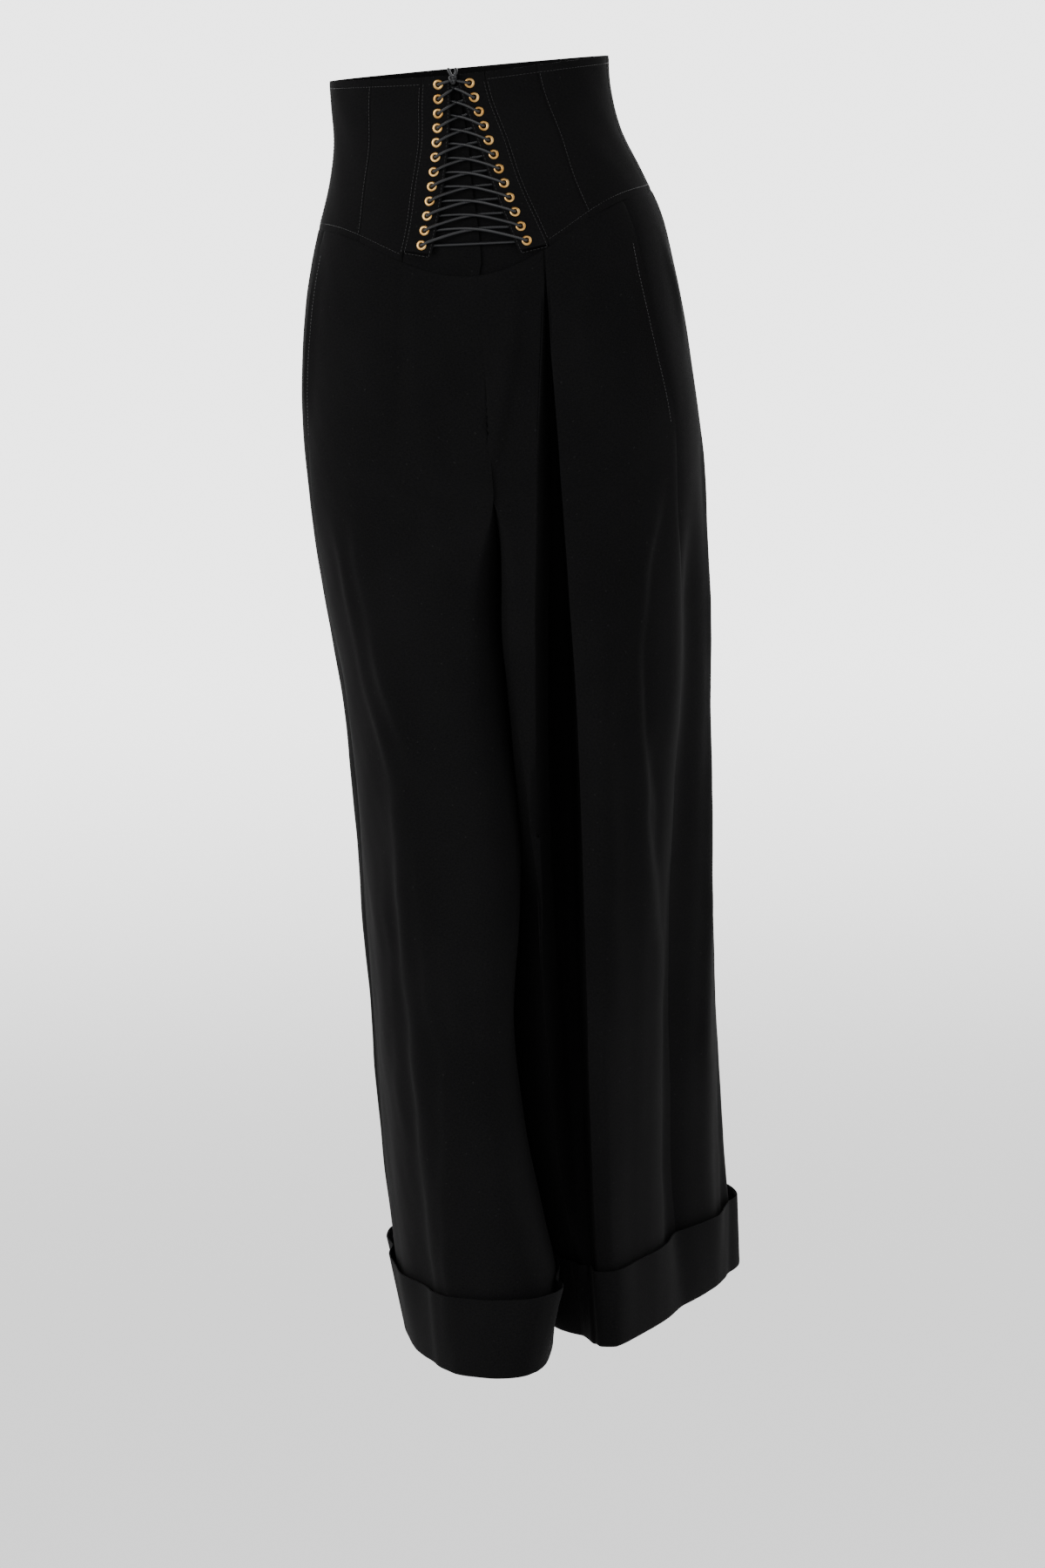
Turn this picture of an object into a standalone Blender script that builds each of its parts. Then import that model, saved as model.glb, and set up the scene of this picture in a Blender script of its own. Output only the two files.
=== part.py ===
"""Palazzo pants with a high laced waistband, as the pieces of cloth they are sewn from.

Metres, +Z up. The front faces -Y and the wearer's left is +X. The origin is the middle of
the natural waist, where the wearer holds the garment up. The cloth keeps its worn form: the
wearer's right leg stands forward and the left leg stands back.
"""

import math
from collections import namedtuple

import bmesh
import bpy
import numpy as np
from mathutils import Matrix, Vector

# Cloth walls and seams
CLOTH = 0.0016
BAND_WALL = 0.0018
SEAM_GAP = 0.0003
YOKE_GAP = 0.0006
LINING_GAP = 0.0006

# Levels
HEM_Z = -1.087
CUFF_TOP_Z = -1.018
CROTCH_Z = -0.335
FRONT_RISE_Z = -0.235
BACK_RISE_Z = -0.205

# Yoke seam and top edge of the waistband, as heights over the side and the centre
YOKE_SIDE_Z = -0.0985
YOKE_DIP_FRONT = 0.0495
YOKE_DIP_BACK = 0.012
YOKE_TILT = 0.064
TOP_Z = 0.0235
TOP_DIP_FRONT = 0.003
TOP_TILT = 0.040

# Lacing
EYELETS = 12
EYELET_TOP_Z = 0.013
EYELET_PITCH = 0.01215
EyeletLine = namedtuple("EyeletLine", "top lean bend")
EYELET_LINES = {
    "right": EyeletLine(-0.0178, -0.0045, -0.0145),
    "left": EyeletLine(0.0090, 0.0360, 0.0080),
}
EYELET_OUTER_R = 0.0045
EYELET_BORE_R = 0.00235
EYELET_BARREL_R = 0.00295
STRIP_HOLE_R = 0.0032
LACE_R = 0.00115
LACE_OVER = 0.0023
LACE_UNDER = -0.00345
CROSS_LIFT = 0.00135
KNOT_Z = 0.0165

# Flaps that carry the eyelets, and the underlay behind the lacing
FLAP_OVERHANG = 0.0102
FLAP_BOTTOM_Z = -0.1285
UNDERLAY_DEPTH = 0.0053
UNDERLAP = 0.024
FLY_EDGE = 0.0040
FLY_HOOK = 0.0022

# Turned-up cuffs
CUFF_WALL = 0.0018
CUFF_STAND_TOP = 0.0060
CUFF_STAND_CLOSE = 0.0034
CUFF_STAND_HEM = 0.0036
CUFF_LIP = 0.0016
CUFF_VALLEY_X = 0.058

# One row for each level of a leg: the outermost, front, inner and back points of its outline
Level = namedtuple(
    "Level", "z x_out y_out x_front y_front x_in y_in x_back y_back round_out round_in round_back"
)

RIGHT_LEVELS = [
    Level(0.040, -0.1225, 0.000, -0.005, -0.0900, -0.0050, 0.000, -0.005, 0.088, 2.3, 2.3, 2.2),
    Level(0.000, -0.1215, 0.000, -0.004, -0.0910, -0.0040, 0.000, -0.004, 0.088, 2.3, 2.3, 2.2),
    Level(-0.035, -0.1210, 0.000, 0.001, -0.0950, 0.0010, 0.000, 0.001, 0.091, 2.3, 2.3, 2.2),
    Level(-0.070, -0.1270, 0.000, 0.003, -0.1030, 0.0030, 0.000, 0.003, 0.097, 2.3, 2.3, 2.2),
    Level(-0.110, -0.1390, 0.000, 0.008, -0.1140, 0.0080, 0.000, 0.008, 0.107, 2.3, 2.3, 2.2),
    Level(-0.150, -0.1490, 0.000, 0.010, -0.1210, 0.0100, 0.000, 0.010, 0.118, 2.3, 2.3, 2.2),
    Level(-0.220, -0.1590, 0.000, 0.013, -0.1290, 0.0130, 0.000, 0.013, 0.132, 2.3, 2.3, 2.2),
    Level(-0.300, -0.1620, 0.000, 0.014, -0.1340, 0.0140, 0.000, 0.014, 0.136, 2.3, 3.0, 2.2),
    Level(-0.335, -0.1605, 0.000, 0.015, -0.1370, 0.0150, 0.000, 0.015, 0.134, 2.3, 5.0, 2.4),
    Level(-0.400, -0.1540, 0.002, -0.010, -0.1430, 0.0140, -0.010, -0.050, 0.128, 2.2, 5.0, 2.2),
    Level(-0.500, -0.1430, 0.008, -0.020, -0.1520, 0.0160, -0.035, -0.055, 0.118, 2.1, 4.5, 2.1),
    Level(-0.600, -0.1375, 0.014, -0.022, -0.1620, 0.0205, -0.075, -0.055, 0.112, 2.0, 4.0, 2.0),
    Level(-0.700, -0.1360, 0.020, -0.022, -0.1740, 0.0150, -0.105, -0.055, 0.110, 1.9, 3.4, 2.0),
    Level(-0.800, -0.1340, 0.026, -0.022, -0.1860, 0.0060, -0.125, -0.055, 0.111, 1.85, 3.0, 2.0),
    Level(-0.900, -0.1320, 0.030, -0.020, -0.1980, 0.0130, -0.145, -0.055, 0.114, 1.8, 2.8, 2.0),
    Level(-0.980, -0.1300, 0.032, -0.014, -0.2060, 0.0260, -0.155, -0.052, 0.117, 1.75, 2.8, 2.0),
    Level(-1.018, -0.1280, 0.032, -0.012, -0.2090, 0.0330, -0.160, -0.052, 0.118, 1.75, 2.8, 2.0),
    Level(-1.087, -0.1190, 0.030, -0.012, -0.2160, 0.0245, -0.150, -0.052, 0.116, 1.75, 2.8, 2.0),
]

LEFT_LEVELS = [
    Level(0.040, 0.1210, 0.000, -0.005, -0.0900, -0.0050, 0.000, -0.005, 0.088, 2.3, 2.3, 2.2),
    Level(0.000, 0.1215, 0.000, -0.004, -0.0910, -0.0040, 0.000, -0.004, 0.088, 2.3, 2.3, 2.2),
    Level(-0.035, 0.1285, 0.000, 0.001, -0.0950, 0.0010, 0.000, 0.001, 0.091, 2.3, 2.3, 2.2),
    Level(-0.070, 0.1440, 0.000, 0.003, -0.1030, 0.0030, 0.000, 0.003, 0.097, 2.3, 2.3, 2.2),
    Level(-0.110, 0.1600, 0.000, 0.008, -0.1140, 0.0080, 0.000, 0.008, 0.107, 2.3, 2.3, 2.2),
    Level(-0.150, 0.1680, 0.000, 0.010, -0.1210, 0.0100, 0.000, 0.010, 0.118, 2.3, 2.3, 2.2),
    Level(-0.220, 0.1780, 0.000, 0.013, -0.1290, 0.0130, 0.000, 0.013, 0.132, 2.3, 2.3, 2.2),
    Level(-0.300, 0.1850, 0.002, 0.014, -0.1340, 0.0140, 0.000, 0.014, 0.137, 2.3, 3.0, 2.2),
    Level(-0.335, 0.1850, 0.004, 0.015, -0.1360, 0.0150, 0.000, 0.015, 0.138, 2.2, 5.0, 2.4),
    Level(-0.400, 0.1850, 0.012, 0.060, -0.1360, 0.0151, 0.004, 0.075, 0.140, 2.1, 4.0, 2.2),
    Level(-0.500, 0.1830, 0.026, 0.085, -0.1340, 0.0110, 0.006, 0.085, 0.145, 1.9, 3.0, 2.1),
    Level(-0.600, 0.1775, 0.042, 0.088, -0.1310, 0.0130, 0.004, 0.090, 0.151, 1.7, 2.6, 2.0),
    Level(-0.700, 0.1730, 0.060, 0.086, -0.1290, 0.0054, 0.002, 0.094, 0.160, 1.5, 2.5, 2.0),
    Level(-0.800, 0.1710, 0.080, 0.084, -0.1280, -0.0079, 0.000, 0.097, 0.171, 1.35, 2.5, 2.0),
    Level(-0.900, 0.1705, 0.098, 0.083, -0.1275, -0.0050, -0.002, 0.100, 0.183, 1.25, 2.5, 2.0),
    Level(-0.980, 0.1700, 0.112, 0.082, -0.1270, 0.0083, -0.006, 0.103, 0.192, 1.2, 2.4, 2.0),
    Level(-1.018, 0.1710, 0.120, 0.082, -0.1265, 0.0171, -0.008, 0.104, 0.196, 1.18, 2.3, 2.0),
    Level(-1.087, 0.1750, 0.130, 0.082, -0.1265, 0.0131, -0.010, 0.105, 0.200, 1.15, 2.0, 2.0),
]

# The open front pleat of the left leg: its two folded edges, its bottom and the cloth inside it
Pleat = namedtuple("Pleat", "z x_inner x_outer y_bottom y_inner_side")
OPEN_PLEAT = [
    Pleat(-0.110, 0.0660, 0.0684, -0.1085, -0.1125),
    Pleat(-0.160, 0.0655, 0.0690, -0.1130, -0.1205),
    Pleat(-0.200, 0.0625, 0.0700, -0.1020, -0.1265),
    Pleat(-0.290, 0.0555, 0.0725, -0.0800, -0.1335),
    Pleat(-0.400, 0.0480, 0.0755, -0.0560, -0.1390),
    Pleat(-0.500, 0.0415, 0.0770, -0.0400, -0.1410),
    Pleat(-0.600, 0.0370, 0.0765, -0.0330, -0.1400),
    Pleat(-0.700, 0.0340, 0.0745, -0.0340, -0.1310),
    Pleat(-0.800, 0.0335, 0.0725, -0.0430, -0.1200),
    Pleat(-0.900, 0.0360, 0.0705, -0.0600, -0.1090),
    Pleat(-0.980, 0.0430, 0.0700, -0.0860, -0.1040),
    Pleat(-1.018, 0.0470, 0.0700, -0.1000, -0.1020),
    Pleat(-1.087, 0.0500, 0.0710, -0.1160, -0.0980),
]
PLEAT_COLUMNS = [0.0, 0.05, 0.12, 0.21, 0.33, 0.5, 0.67, 0.79, 0.88, 0.95, 1.0]

# Side seams: how far back they run, by level
Seam = namedtuple("Seam", "z y_right y_left y_inseam_right y_inseam_left")
SEAMS = [
    Seam(-0.090, -0.048, -0.064, 0.000, 0.000),
    Seam(-0.160, -0.052, -0.070, 0.000, 0.000),
    Seam(-0.300, -0.050, -0.066, 0.000, 0.000),
    Seam(-0.500, -0.030, -0.048, -0.006, 0.004),
    Seam(-0.800, -0.006, -0.014, -0.030, 0.022),
    Seam(-1.087, 0.010, 0.010, -0.045, 0.040),
]

# Pocket mouths in the side seams
POCKET_TOP_Z = -0.118
POCKET_BOTTOM_Z = -0.292
POCKET_GAPE = 0.0030
POCKET_SLIP = 0.0026
FACING_WIDTH = 0.011
FACING_DROP = 0.004
SEAM_REACH = 0.004

# Large soft folds. Along a front or a back they are placed by x, and along a side by y
Fold = namedtuple("Fold", "leg facing z_top at_top z_bottom at_bottom half_width height")
FOLDS = [
    Fold("right", "front", -0.120, -0.060, -0.300, -0.066, 0.020, -0.0040),
    Fold("right", "front", -0.400, -0.098, -0.700, -0.060, 0.022, 0.0035),
    Fold("right", "front", -0.560, -0.084, -1.100, -0.046, 0.020, 0.0040),
    Fold("right", "front", -0.600, -0.108, -1.100, -0.092, 0.018, 0.0040),
    Fold("right", "outer", -0.420, -0.040, -1.100, -0.020, 0.026, -0.0040),
    Fold("right", "inner", -0.390, 0.005, -1.300, -0.050, 0.055, -0.0160),
    Fold("right", "back", -0.340, -0.030, -1.100, -0.030, 0.034, 0.0060),
    Fold("right", "back", -0.420, -0.085, -1.100, -0.100, 0.030, -0.0060),
    Fold("left", "front", -0.420, 0.120, -1.100, 0.098, 0.016, -0.0030),
    Fold("left", "outer", -0.330, -0.040, -1.100, -0.004, 0.034, -0.0110),
    Fold("left", "outer", -0.560, 0.030, -1.100, 0.060, 0.030, 0.0040),
    Fold("left", "back", -0.340, 0.060, -1.100, 0.070, 0.034, 0.0060),
    Fold("left", "back", -0.400, 0.115, -1.100, 0.130, 0.030, -0.0060),
]
FOLD_FADE = 0.120

# Rows and columns of the leg panels
LEG_ROWS = [
    -0.165, -0.200, -0.235, -0.262, -0.288, -0.312, -0.335, -0.352, -0.385, -0.430, -0.480, -0.535,
    -0.590, -0.650, -0.710, -0.770, -0.830, -0.890, -0.945, -0.985, -1.018,
]
EDGE_COLUMNS = 4
EDGE_WIDTH = 0.004
FRONT_COLUMNS = 14
INNER_COLUMNS = 5
OUTER_COLUMNS = 11
BACK_COLUMNS = 11

# Vertical seams of the waistband, as widths from the centre front at its top and its bottom
BandSeam = namedtuple("BandSeam", "name top bottom bow")
STRIP_SEAM = BandSeam("strip", 0.0265, 0.0640, -0.004)
PRINCESS_SEAM = BandSeam("princess", 0.0710, 0.1060, -0.003)
SIDE_SEAM_ANGLE = 84.0
BACK_SPLIT_ANGLE = 180.0
SEAM_ANGLE_GAP = 0.10
BAND_LOW_Z = -0.130
BAND_HIGH_Z = 0.020


def clear_scene():
    """Remove the objects that the file starts with."""
    for item in list(bpy.data.objects):
        bpy.data.objects.remove(item, do_unlink=True)


def make_material(name, colour, roughness, metallic):
    """A Principled BSDF in one colour."""
    material = bpy.data.materials.new(name)
    material.use_nodes = True
    shader = material.node_tree.nodes["Principled BSDF"]
    shader.inputs["Base Color"].default_value = (*colour, 1.0)
    shader.inputs["Roughness"].default_value = roughness
    shader.inputs["Metallic"].default_value = metallic
    return material


def column(table, name, z):
    """One column of a table at any level, on a smooth curve through its rows."""
    levels = np.array([row.z for row in table])[::-1]
    values = np.array([getattr(row, name) for row in table])[::-1]
    slopes = np.gradient(values, levels)
    z = np.clip(np.asarray(z, dtype=float), levels[0], levels[-1])
    index = np.clip(np.searchsorted(levels, z, side="right") - 1, 0, len(levels) - 2)
    step = levels[index + 1] - levels[index]
    t = (z - levels[index]) / step
    start = (1.0 + 2.0 * t) * (1.0 - t) ** 2 * values[index]
    end = t * t * (3.0 - 2.0 * t) * values[index + 1]
    lean = t * (1.0 - t) * step * ((1.0 - t) * slopes[index] - t * slopes[index + 1])
    return start + end + lean


def smoothstep(low, high, value):
    """0 below low, 1 above high and a smooth rise between them."""
    t = np.clip((np.asarray(value, dtype=float) - low) / (high - low), 0.0, 1.0)
    return t * t * (3.0 - 2.0 * t)


def levels_of(leg):
    """The table of one leg."""
    return RIGHT_LEVELS if leg == "right" else LEFT_LEVELS


def outward(leg):
    """The sign of X on one side of the garment."""
    return -1.0 if leg == "right" else 1.0


def rise_depth(z, top):
    """How much of the body's depth the crotch seam has reached: 1 at its top and 0 at the crotch."""
    t = np.clip((top - z) / (top - CROTCH_Z), 0.0, 1.0)
    return np.sqrt(1.0 - t * t)


def outline(leg, z, points=60):
    """One leg's outline at a level, from its inner front edge round the outside to the inner back."""
    table = levels_of(leg)
    at = {name: float(column(table, name, z)) for name in Level._fields if name != "z"}
    inner_x = at["x_in"] + outward(leg) * SEAM_GAP / 2
    front_x = at["x_front"] if z < CROTCH_Z else inner_x
    back_x = at["x_back"] if z < CROTCH_Z else inner_x
    front_start = at["y_in"] + (at["y_front"] - at["y_in"]) * rise_depth(z, FRONT_RISE_Z)
    back_end = at["y_in"] + (at["y_back"] - at["y_in"]) * rise_depth(z, BACK_RISE_Z)
    turn = np.linspace(0.0, math.pi / 2, points)
    near, far = np.cos(turn), np.sin(turn)
    near[-1] = 0.0
    xs, ys = [], []
    power = 2.0 / at["round_in"]
    xs.append(front_x + (inner_x - front_x) * near**power)
    ys.append(front_start + (at["y_front"] - front_start) * far**power)
    power = 2.0 / at["round_out"]
    xs.append(front_x + (at["x_out"] - front_x) * far**power)
    ys.append(at["y_out"] + (at["y_front"] - at["y_out"]) * near**power)
    power = 2.0 / at["round_back"]
    xs.append(back_x + (at["x_out"] - back_x) * near**power)
    ys.append(at["y_out"] + (at["y_back"] - at["y_out"]) * far**power)
    xs.append(back_x + (inner_x - back_x) * far**power)
    ys.append(back_end + (at["y_back"] - back_end) * near**power)
    xs, ys = np.concatenate(xs), np.concatenate(ys)
    cut = 4 * points - 1
    if z < CROTCH_Z:
        inseam = float(column(SEAMS, "y_inseam_" + leg, z))
        cut = 3 * points + int(np.argmin(np.abs(ys[3 * points:] - inseam)))
    front_start = 4 * points - 1 - cut
    xs = np.concatenate([xs[cut:-1], xs[:cut + 1]]) if front_start else xs
    ys = np.concatenate([ys[cut:-1], ys[:cut + 1]]) if front_start else ys
    return xs, ys, front_start


def along(xs, ys):
    """Lengths along a line of points."""
    return np.concatenate([[0.0], np.cumsum(np.hypot(np.diff(xs), np.diff(ys)))])


def crossing(lengths, values, target, start, stop):
    """The length at which a value is first reached between two indices of a line."""
    piece = values[start:stop] - target
    change = np.nonzero(piece[:-1] * piece[1:] <= 0.0)[0]
    if len(change) == 0:
        return lengths[stop - 1] if abs(piece[-1]) < abs(piece[0]) else lengths[start]
    i = start + int(change[0])
    span = values[i + 1] - values[i]
    share = 0.0 if abs(span) < 1e-12 else (target - values[i]) / span
    return lengths[i] + share * (lengths[i + 1] - lengths[i])


def fold_height(leg, x, y, z, nx, ny):
    """How far the large folds push one row of points out of the smooth outline."""
    height = np.zeros_like(x)
    for fold in FOLDS:
        if fold.leg != leg:
            continue
        facing = {
            "front": np.clip(-ny, 0.0, 1.0),
            "back": np.clip(ny, 0.0, 1.0),
            "outer": np.clip(outward(leg) * nx, 0.0, 1.0),
            "inner": np.clip(-outward(leg) * nx, 0.0, 1.0),
        }[fold.facing]
        across = y if fold.facing in ("outer", "inner") else x
        share = np.clip((fold.z_top - z) / (fold.z_top - fold.z_bottom), 0.0, 1.0)
        centre = fold.at_top + (fold.at_bottom - fold.at_top) * share
        fade = smoothstep(0.0, FOLD_FADE, fold.z_top - z) * smoothstep(0.0, 0.03, z - fold.z_bottom)
        bump = np.exp(-(((across - centre) / fold.half_width) ** 2) * 2.0)
        height += fold.height * bump * fade * smoothstep(0.15, 0.75, facing)
    return height


def normals_of(x, y, leg):
    """Outward normals of a row of points, level with the floor."""
    tx, ty = np.gradient(x), np.gradient(y)
    size = np.maximum(np.hypot(tx, ty), 1e-9)
    return outward(leg) * ty / size, -outward(leg) * tx / size


def yoke_z(leg, x, y, z):
    """Height of the yoke seam over a point of the body."""
    table = levels_of(leg)
    middle = column(table, "x_in", z)
    half = np.abs(column(table, "x_out", z) - middle)
    share = np.clip(np.abs(x - middle) / half, 0.0, 1.0)
    dip = np.where(y < 0.0, YOKE_DIP_FRONT, YOKE_DIP_BACK) * np.cos(share * math.pi / 2) ** 2
    return YOKE_SIDE_Z + YOKE_TILT * (x - middle) - dip


def top_z(leg, x, y, z):
    """Height of the waistband's top edge over a point of the body."""
    table = levels_of(leg)
    middle = column(table, "x_in", z)
    half = np.abs(column(table, "x_out", z) - middle)
    share = np.clip(np.abs(x - middle) / half, 0.0, 1.0)
    dip = np.where(y < 0.0, TOP_DIP_FRONT, 0.0) * np.cos(share * math.pi / 2) ** 2
    return TOP_Z + TOP_TILT * (x - middle) - dip


def pleat_profile(share):
    """Depth across the open pleat, from 0 at its folded edges to 1 at its bottom."""
    return 1.0 - np.abs(2.0 * share - 1.0) ** 3


def row_points(leg, panel, z):
    """The smooth row of one leg panel at a level, from its inner edge or its side seam."""
    xs, ys, front_start = outline(leg, z)
    lengths = along(xs, ys)
    seam_y = float(column(SEAMS, "y_" + leg, z))
    quarter = len(xs) // 4
    seam = crossing(lengths, ys, seam_y, front_start + quarter, front_start + 3 * quarter)
    around = np.array([seam - SEAM_REACH, seam, seam + SEAM_REACH])
    across = normals_of(np.interp(around, lengths, xs), np.interp(around, lengths, ys), leg)
    ends = {-1 if panel == "front" else 0: (across[0][1], across[1][1])}
    if z < CROTCH_Z:
        around = np.array([lengths[-1] - SEAM_REACH, lengths[-1], SEAM_REACH])
        across = normals_of(np.interp(around, lengths, xs), np.interp(around, lengths, ys), leg)
        ends[0 if panel == "front" else -1] = (across[0][1], across[1][1])
    if panel == "back":
        start = front_start + 2 * quarter
        corner = lengths[start + int(np.argmax(ys[start:] - outward(leg) * xs[start:]))]
        corner = min(corner, lengths[-1] - EDGE_COLUMNS * EDGE_WIDTH)
        stops = np.concatenate([
            np.linspace(seam + SEAM_GAP / 2, corner, BACK_COLUMNS),
            np.linspace(corner, lengths[-1] - SEAM_GAP / 2, EDGE_COLUMNS + 1)[1:],
        ])
        return np.interp(stops, lengths, xs), np.interp(stops, lengths, ys), ends
    seam -= SEAM_GAP / 2
    front = slice(0, front_start + 2 * quarter)
    corner = lengths[int(np.argmax(-outward(leg) * xs[front] - ys[front]))]
    corner = max(corner, EDGE_COLUMNS * EDGE_WIDTH)
    inner_stops = np.linspace(SEAM_GAP / 2, corner, EDGE_COLUMNS + 1)
    if leg == "right":
        stops = np.concatenate([inner_stops, np.linspace(corner, seam, FRONT_COLUMNS)[1:]])
        return np.interp(stops, lengths, xs), np.interp(stops, lengths, ys), ends
    inner_x = float(column(OPEN_PLEAT, "x_inner", z))
    outer_x = float(column(OPEN_PLEAT, "x_outer", z))
    reach = (front_start + 2, front_start + 2 * quarter)
    first = crossing(lengths, xs, inner_x, *reach)
    last = crossing(lengths, xs, outer_x, *reach)
    stops = np.concatenate([
        inner_stops[:-1],
        np.linspace(corner, first, INNER_COLUMNS)[:-1],
        first + (last - first) * np.array(PLEAT_COLUMNS),
        np.linspace(last, seam, OUTER_COLUMNS)[1:],
    ])
    x, y = np.interp(stops, lengths, xs), np.interp(stops, lengths, ys)
    inner_y = float(column(OPEN_PLEAT, "y_inner_side", z))
    front_y = float(column(LEFT_LEVELS, "y_front", z))
    inner_side_y = float(column(LEFT_LEVELS, "y_in", z))
    reach = np.clip((y - inner_side_y) / (front_y - inner_side_y), 0.0, 1.0)
    blend = 1.0 - smoothstep(inner_x, outer_x, x)
    if z < FRONT_RISE_Z:
        y = y + (inner_y - front_y) * blend * reach
    start = EDGE_COLUMNS + INNER_COLUMNS - 1
    inside = slice(start, start + len(PLEAT_COLUMNS))
    share = np.array(PLEAT_COLUMNS)
    x[inside] = inner_x + (outer_x - inner_x) * share
    depth = float(column(OPEN_PLEAT, "y_bottom", z))
    y[inside] += np.maximum(depth - y[inside], 0.0) * pleat_profile(share)
    return x, y, ends


def panel_row(leg, panel, z):
    """One row of a leg panel: its outer points, with folds, and its normals."""
    x, y, ends = row_points(leg, panel, z)
    nx, ny = normals_of(x, y, leg)
    for end, normal in ends.items():
        nx[end], ny[end] = normal
    height = fold_height(leg, x, y, z, nx, ny)
    if z >= CROTCH_Z:
        height[0 if panel == "front" else -1] = 0.0
    if panel == "front":
        mouth = float(smoothstep(POCKET_BOTTOM_Z, POCKET_BOTTOM_Z + 0.06, z))
        mouth *= 1.0 - float(smoothstep(POCKET_TOP_Z - 0.05, POCKET_TOP_Z, z))
        x[-1] += mouth * (POCKET_GAPE * nx[-1] - outward(leg) * POCKET_SLIP * abs(ny[-1]))
        y[-1] += mouth * (POCKET_GAPE * ny[-1] - POCKET_SLIP * abs(nx[-1]))
    return x + height * nx, y + height * ny, nx, ny


def top_row(leg, panel):
    """The row along the yoke seam."""
    points = []
    for i in range(len(panel_row(leg, panel, YOKE_SIDE_Z)[0])):
        z = YOKE_SIDE_Z - YOKE_DIP_FRONT / 2
        for _ in range(6):
            x, y, nx, ny = panel_row(leg, panel, z)
            z = float(yoke_z(leg, x[i], y[i], z)) - YOKE_GAP / 2
        points.append((x[i], y[i], z, nx[i], ny[i]))
    return points


def panel_rows(leg, panel, last_z):
    """All rows of a leg panel as (x, y, z, nx, ny), from the yoke seam down."""
    rows = [top_row(leg, panel)]
    for level in LEG_ROWS + [last_z]:
        x, y, nx, ny = panel_row(leg, panel, level)
        rows.append([(x[i], y[i], level, nx[i], ny[i]) for i in range(len(x))])
    return rows


def shifted(rows, depth):
    """Rows moved inwards along their normals by a depth."""
    return [[Vector((x - nx * depth, y - ny * depth, z)) for x, y, z, nx, ny in row] for row in rows]


def finish(name, mesh_data, material, smooth_angle=50.0):
    """An object from a bmesh, with its faces turned outwards and smooth shading."""
    bmesh.ops.recalc_face_normals(mesh_data, faces=mesh_data.faces)
    mesh = bpy.data.meshes.new(name)
    mesh_data.to_mesh(mesh)
    mesh_data.free()
    mesh.shade_smooth()
    mesh.set_sharp_from_angle(angle=math.radians(smooth_angle))
    mesh.materials.append(material)
    item = bpy.data.objects.new(name, mesh)
    bpy.context.scene.collection.objects.link(item)
    return item


def wall(name, outer, inner, material):
    """A closed cloth wall between two grids of points."""
    shell = bmesh.new()
    rows, columns = len(outer), len(outer[0])
    grids = [[[shell.verts.new(p) for p in row] for row in grid] for grid in (outer, inner)]
    for grid in grids:
        for i in range(rows - 1):
            for j in range(columns - 1):
                shell.faces.new((grid[i][j], grid[i][j + 1], grid[i + 1][j + 1], grid[i + 1][j]))
    rim = [(0, j) for j in range(columns)]
    rim += [(i, columns - 1) for i in range(1, rows)]
    rim += [(rows - 1, j) for j in range(columns - 2, -1, -1)]
    rim += [(i, 0) for i in range(rows - 2, 0, -1)]
    for (i, j), (k, m) in zip(rim, rim[1:] + rim[:1]):
        shell.faces.new((grids[0][i][j], grids[0][k][m], grids[1][k][m], grids[1][i][j]))
    return finish(name, shell, material)


def ring(name, profiles, material):
    """A closed ring through profiles that each hold the same number of points."""
    shell = bmesh.new()
    loops = [[shell.verts.new(p) for p in profile] for profile in profiles]
    count = len(loops[0])
    for loop, following in zip(loops, loops[1:] + loops[:1]):
        for k in range(count):
            m = (k + 1) % count
            shell.faces.new((loop[k], loop[m], following[m], following[k]))
    return finish(name, shell, material)


def make_leg_panels(leg, material):
    """The front and back panels of one leg, from the yoke seam to the fold of the hem."""
    last_z = HEM_Z + CUFF_LIP + SEAM_GAP
    panels = {}
    for panel in ("front", "back"):
        rows = panel_rows(leg, panel, last_z)
        wall(f"leg_{panel}_{leg}", shifted(rows, 0.0), shifted(rows, CLOTH), material)
        panels[panel] = rows
    return panels


def make_pocket_facing(leg, panels, material):
    """The strip of pocket bag that lies behind the mouth in the side seam."""
    rows = []
    depth = CLOTH + LINING_GAP
    for front, back in zip(panels["front"], panels["back"]):
        z = back[0][2] - (0.0 if rows else FACING_DROP)
        if z < POCKET_BOTTOM_Z - 0.03:
            break
        seam = np.array(back[0])
        points = []
        for share in (-1.0, -0.5, 0.0, 0.5, 1.0):
            beside = np.array(front[-2] if share < 0.0 else back[1])
            reach = abs(share) * FACING_WIDTH / math.hypot(*(beside - seam)[:2])
            x, y, _, nx, ny = seam + (beside - seam) * reach
            size = math.hypot(nx, ny)
            points.append((x, y, z, nx / size, ny / size))
        rows.append(points)
    wall(f"pocket_facing_{leg}", shifted(rows, depth), shifted(rows, depth + CLOTH), material)


def cuff_stand(leg, x, y, nx):
    """How far the top of a cuff stands out: close between the legs and wide at its free corners."""
    close = float(smoothstep(0.25, 0.85, -outward(leg) * nx))
    stand = CUFF_STAND_TOP + (CUFF_STAND_CLOSE - CUFF_STAND_TOP) * close
    if leg == "right":
        return stand + 0.0100 * float(smoothstep(-0.01, 0.03, x)) * float(smoothstep(0.15, 0.175, -y))
    valley = math.exp(-(((x - CUFF_VALLEY_X) / 0.008) ** 2)) * float(y < 0.0)
    return stand + 0.0025 * float(smoothstep(0.10, 0.17, x)) + 0.0020 * valley


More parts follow.
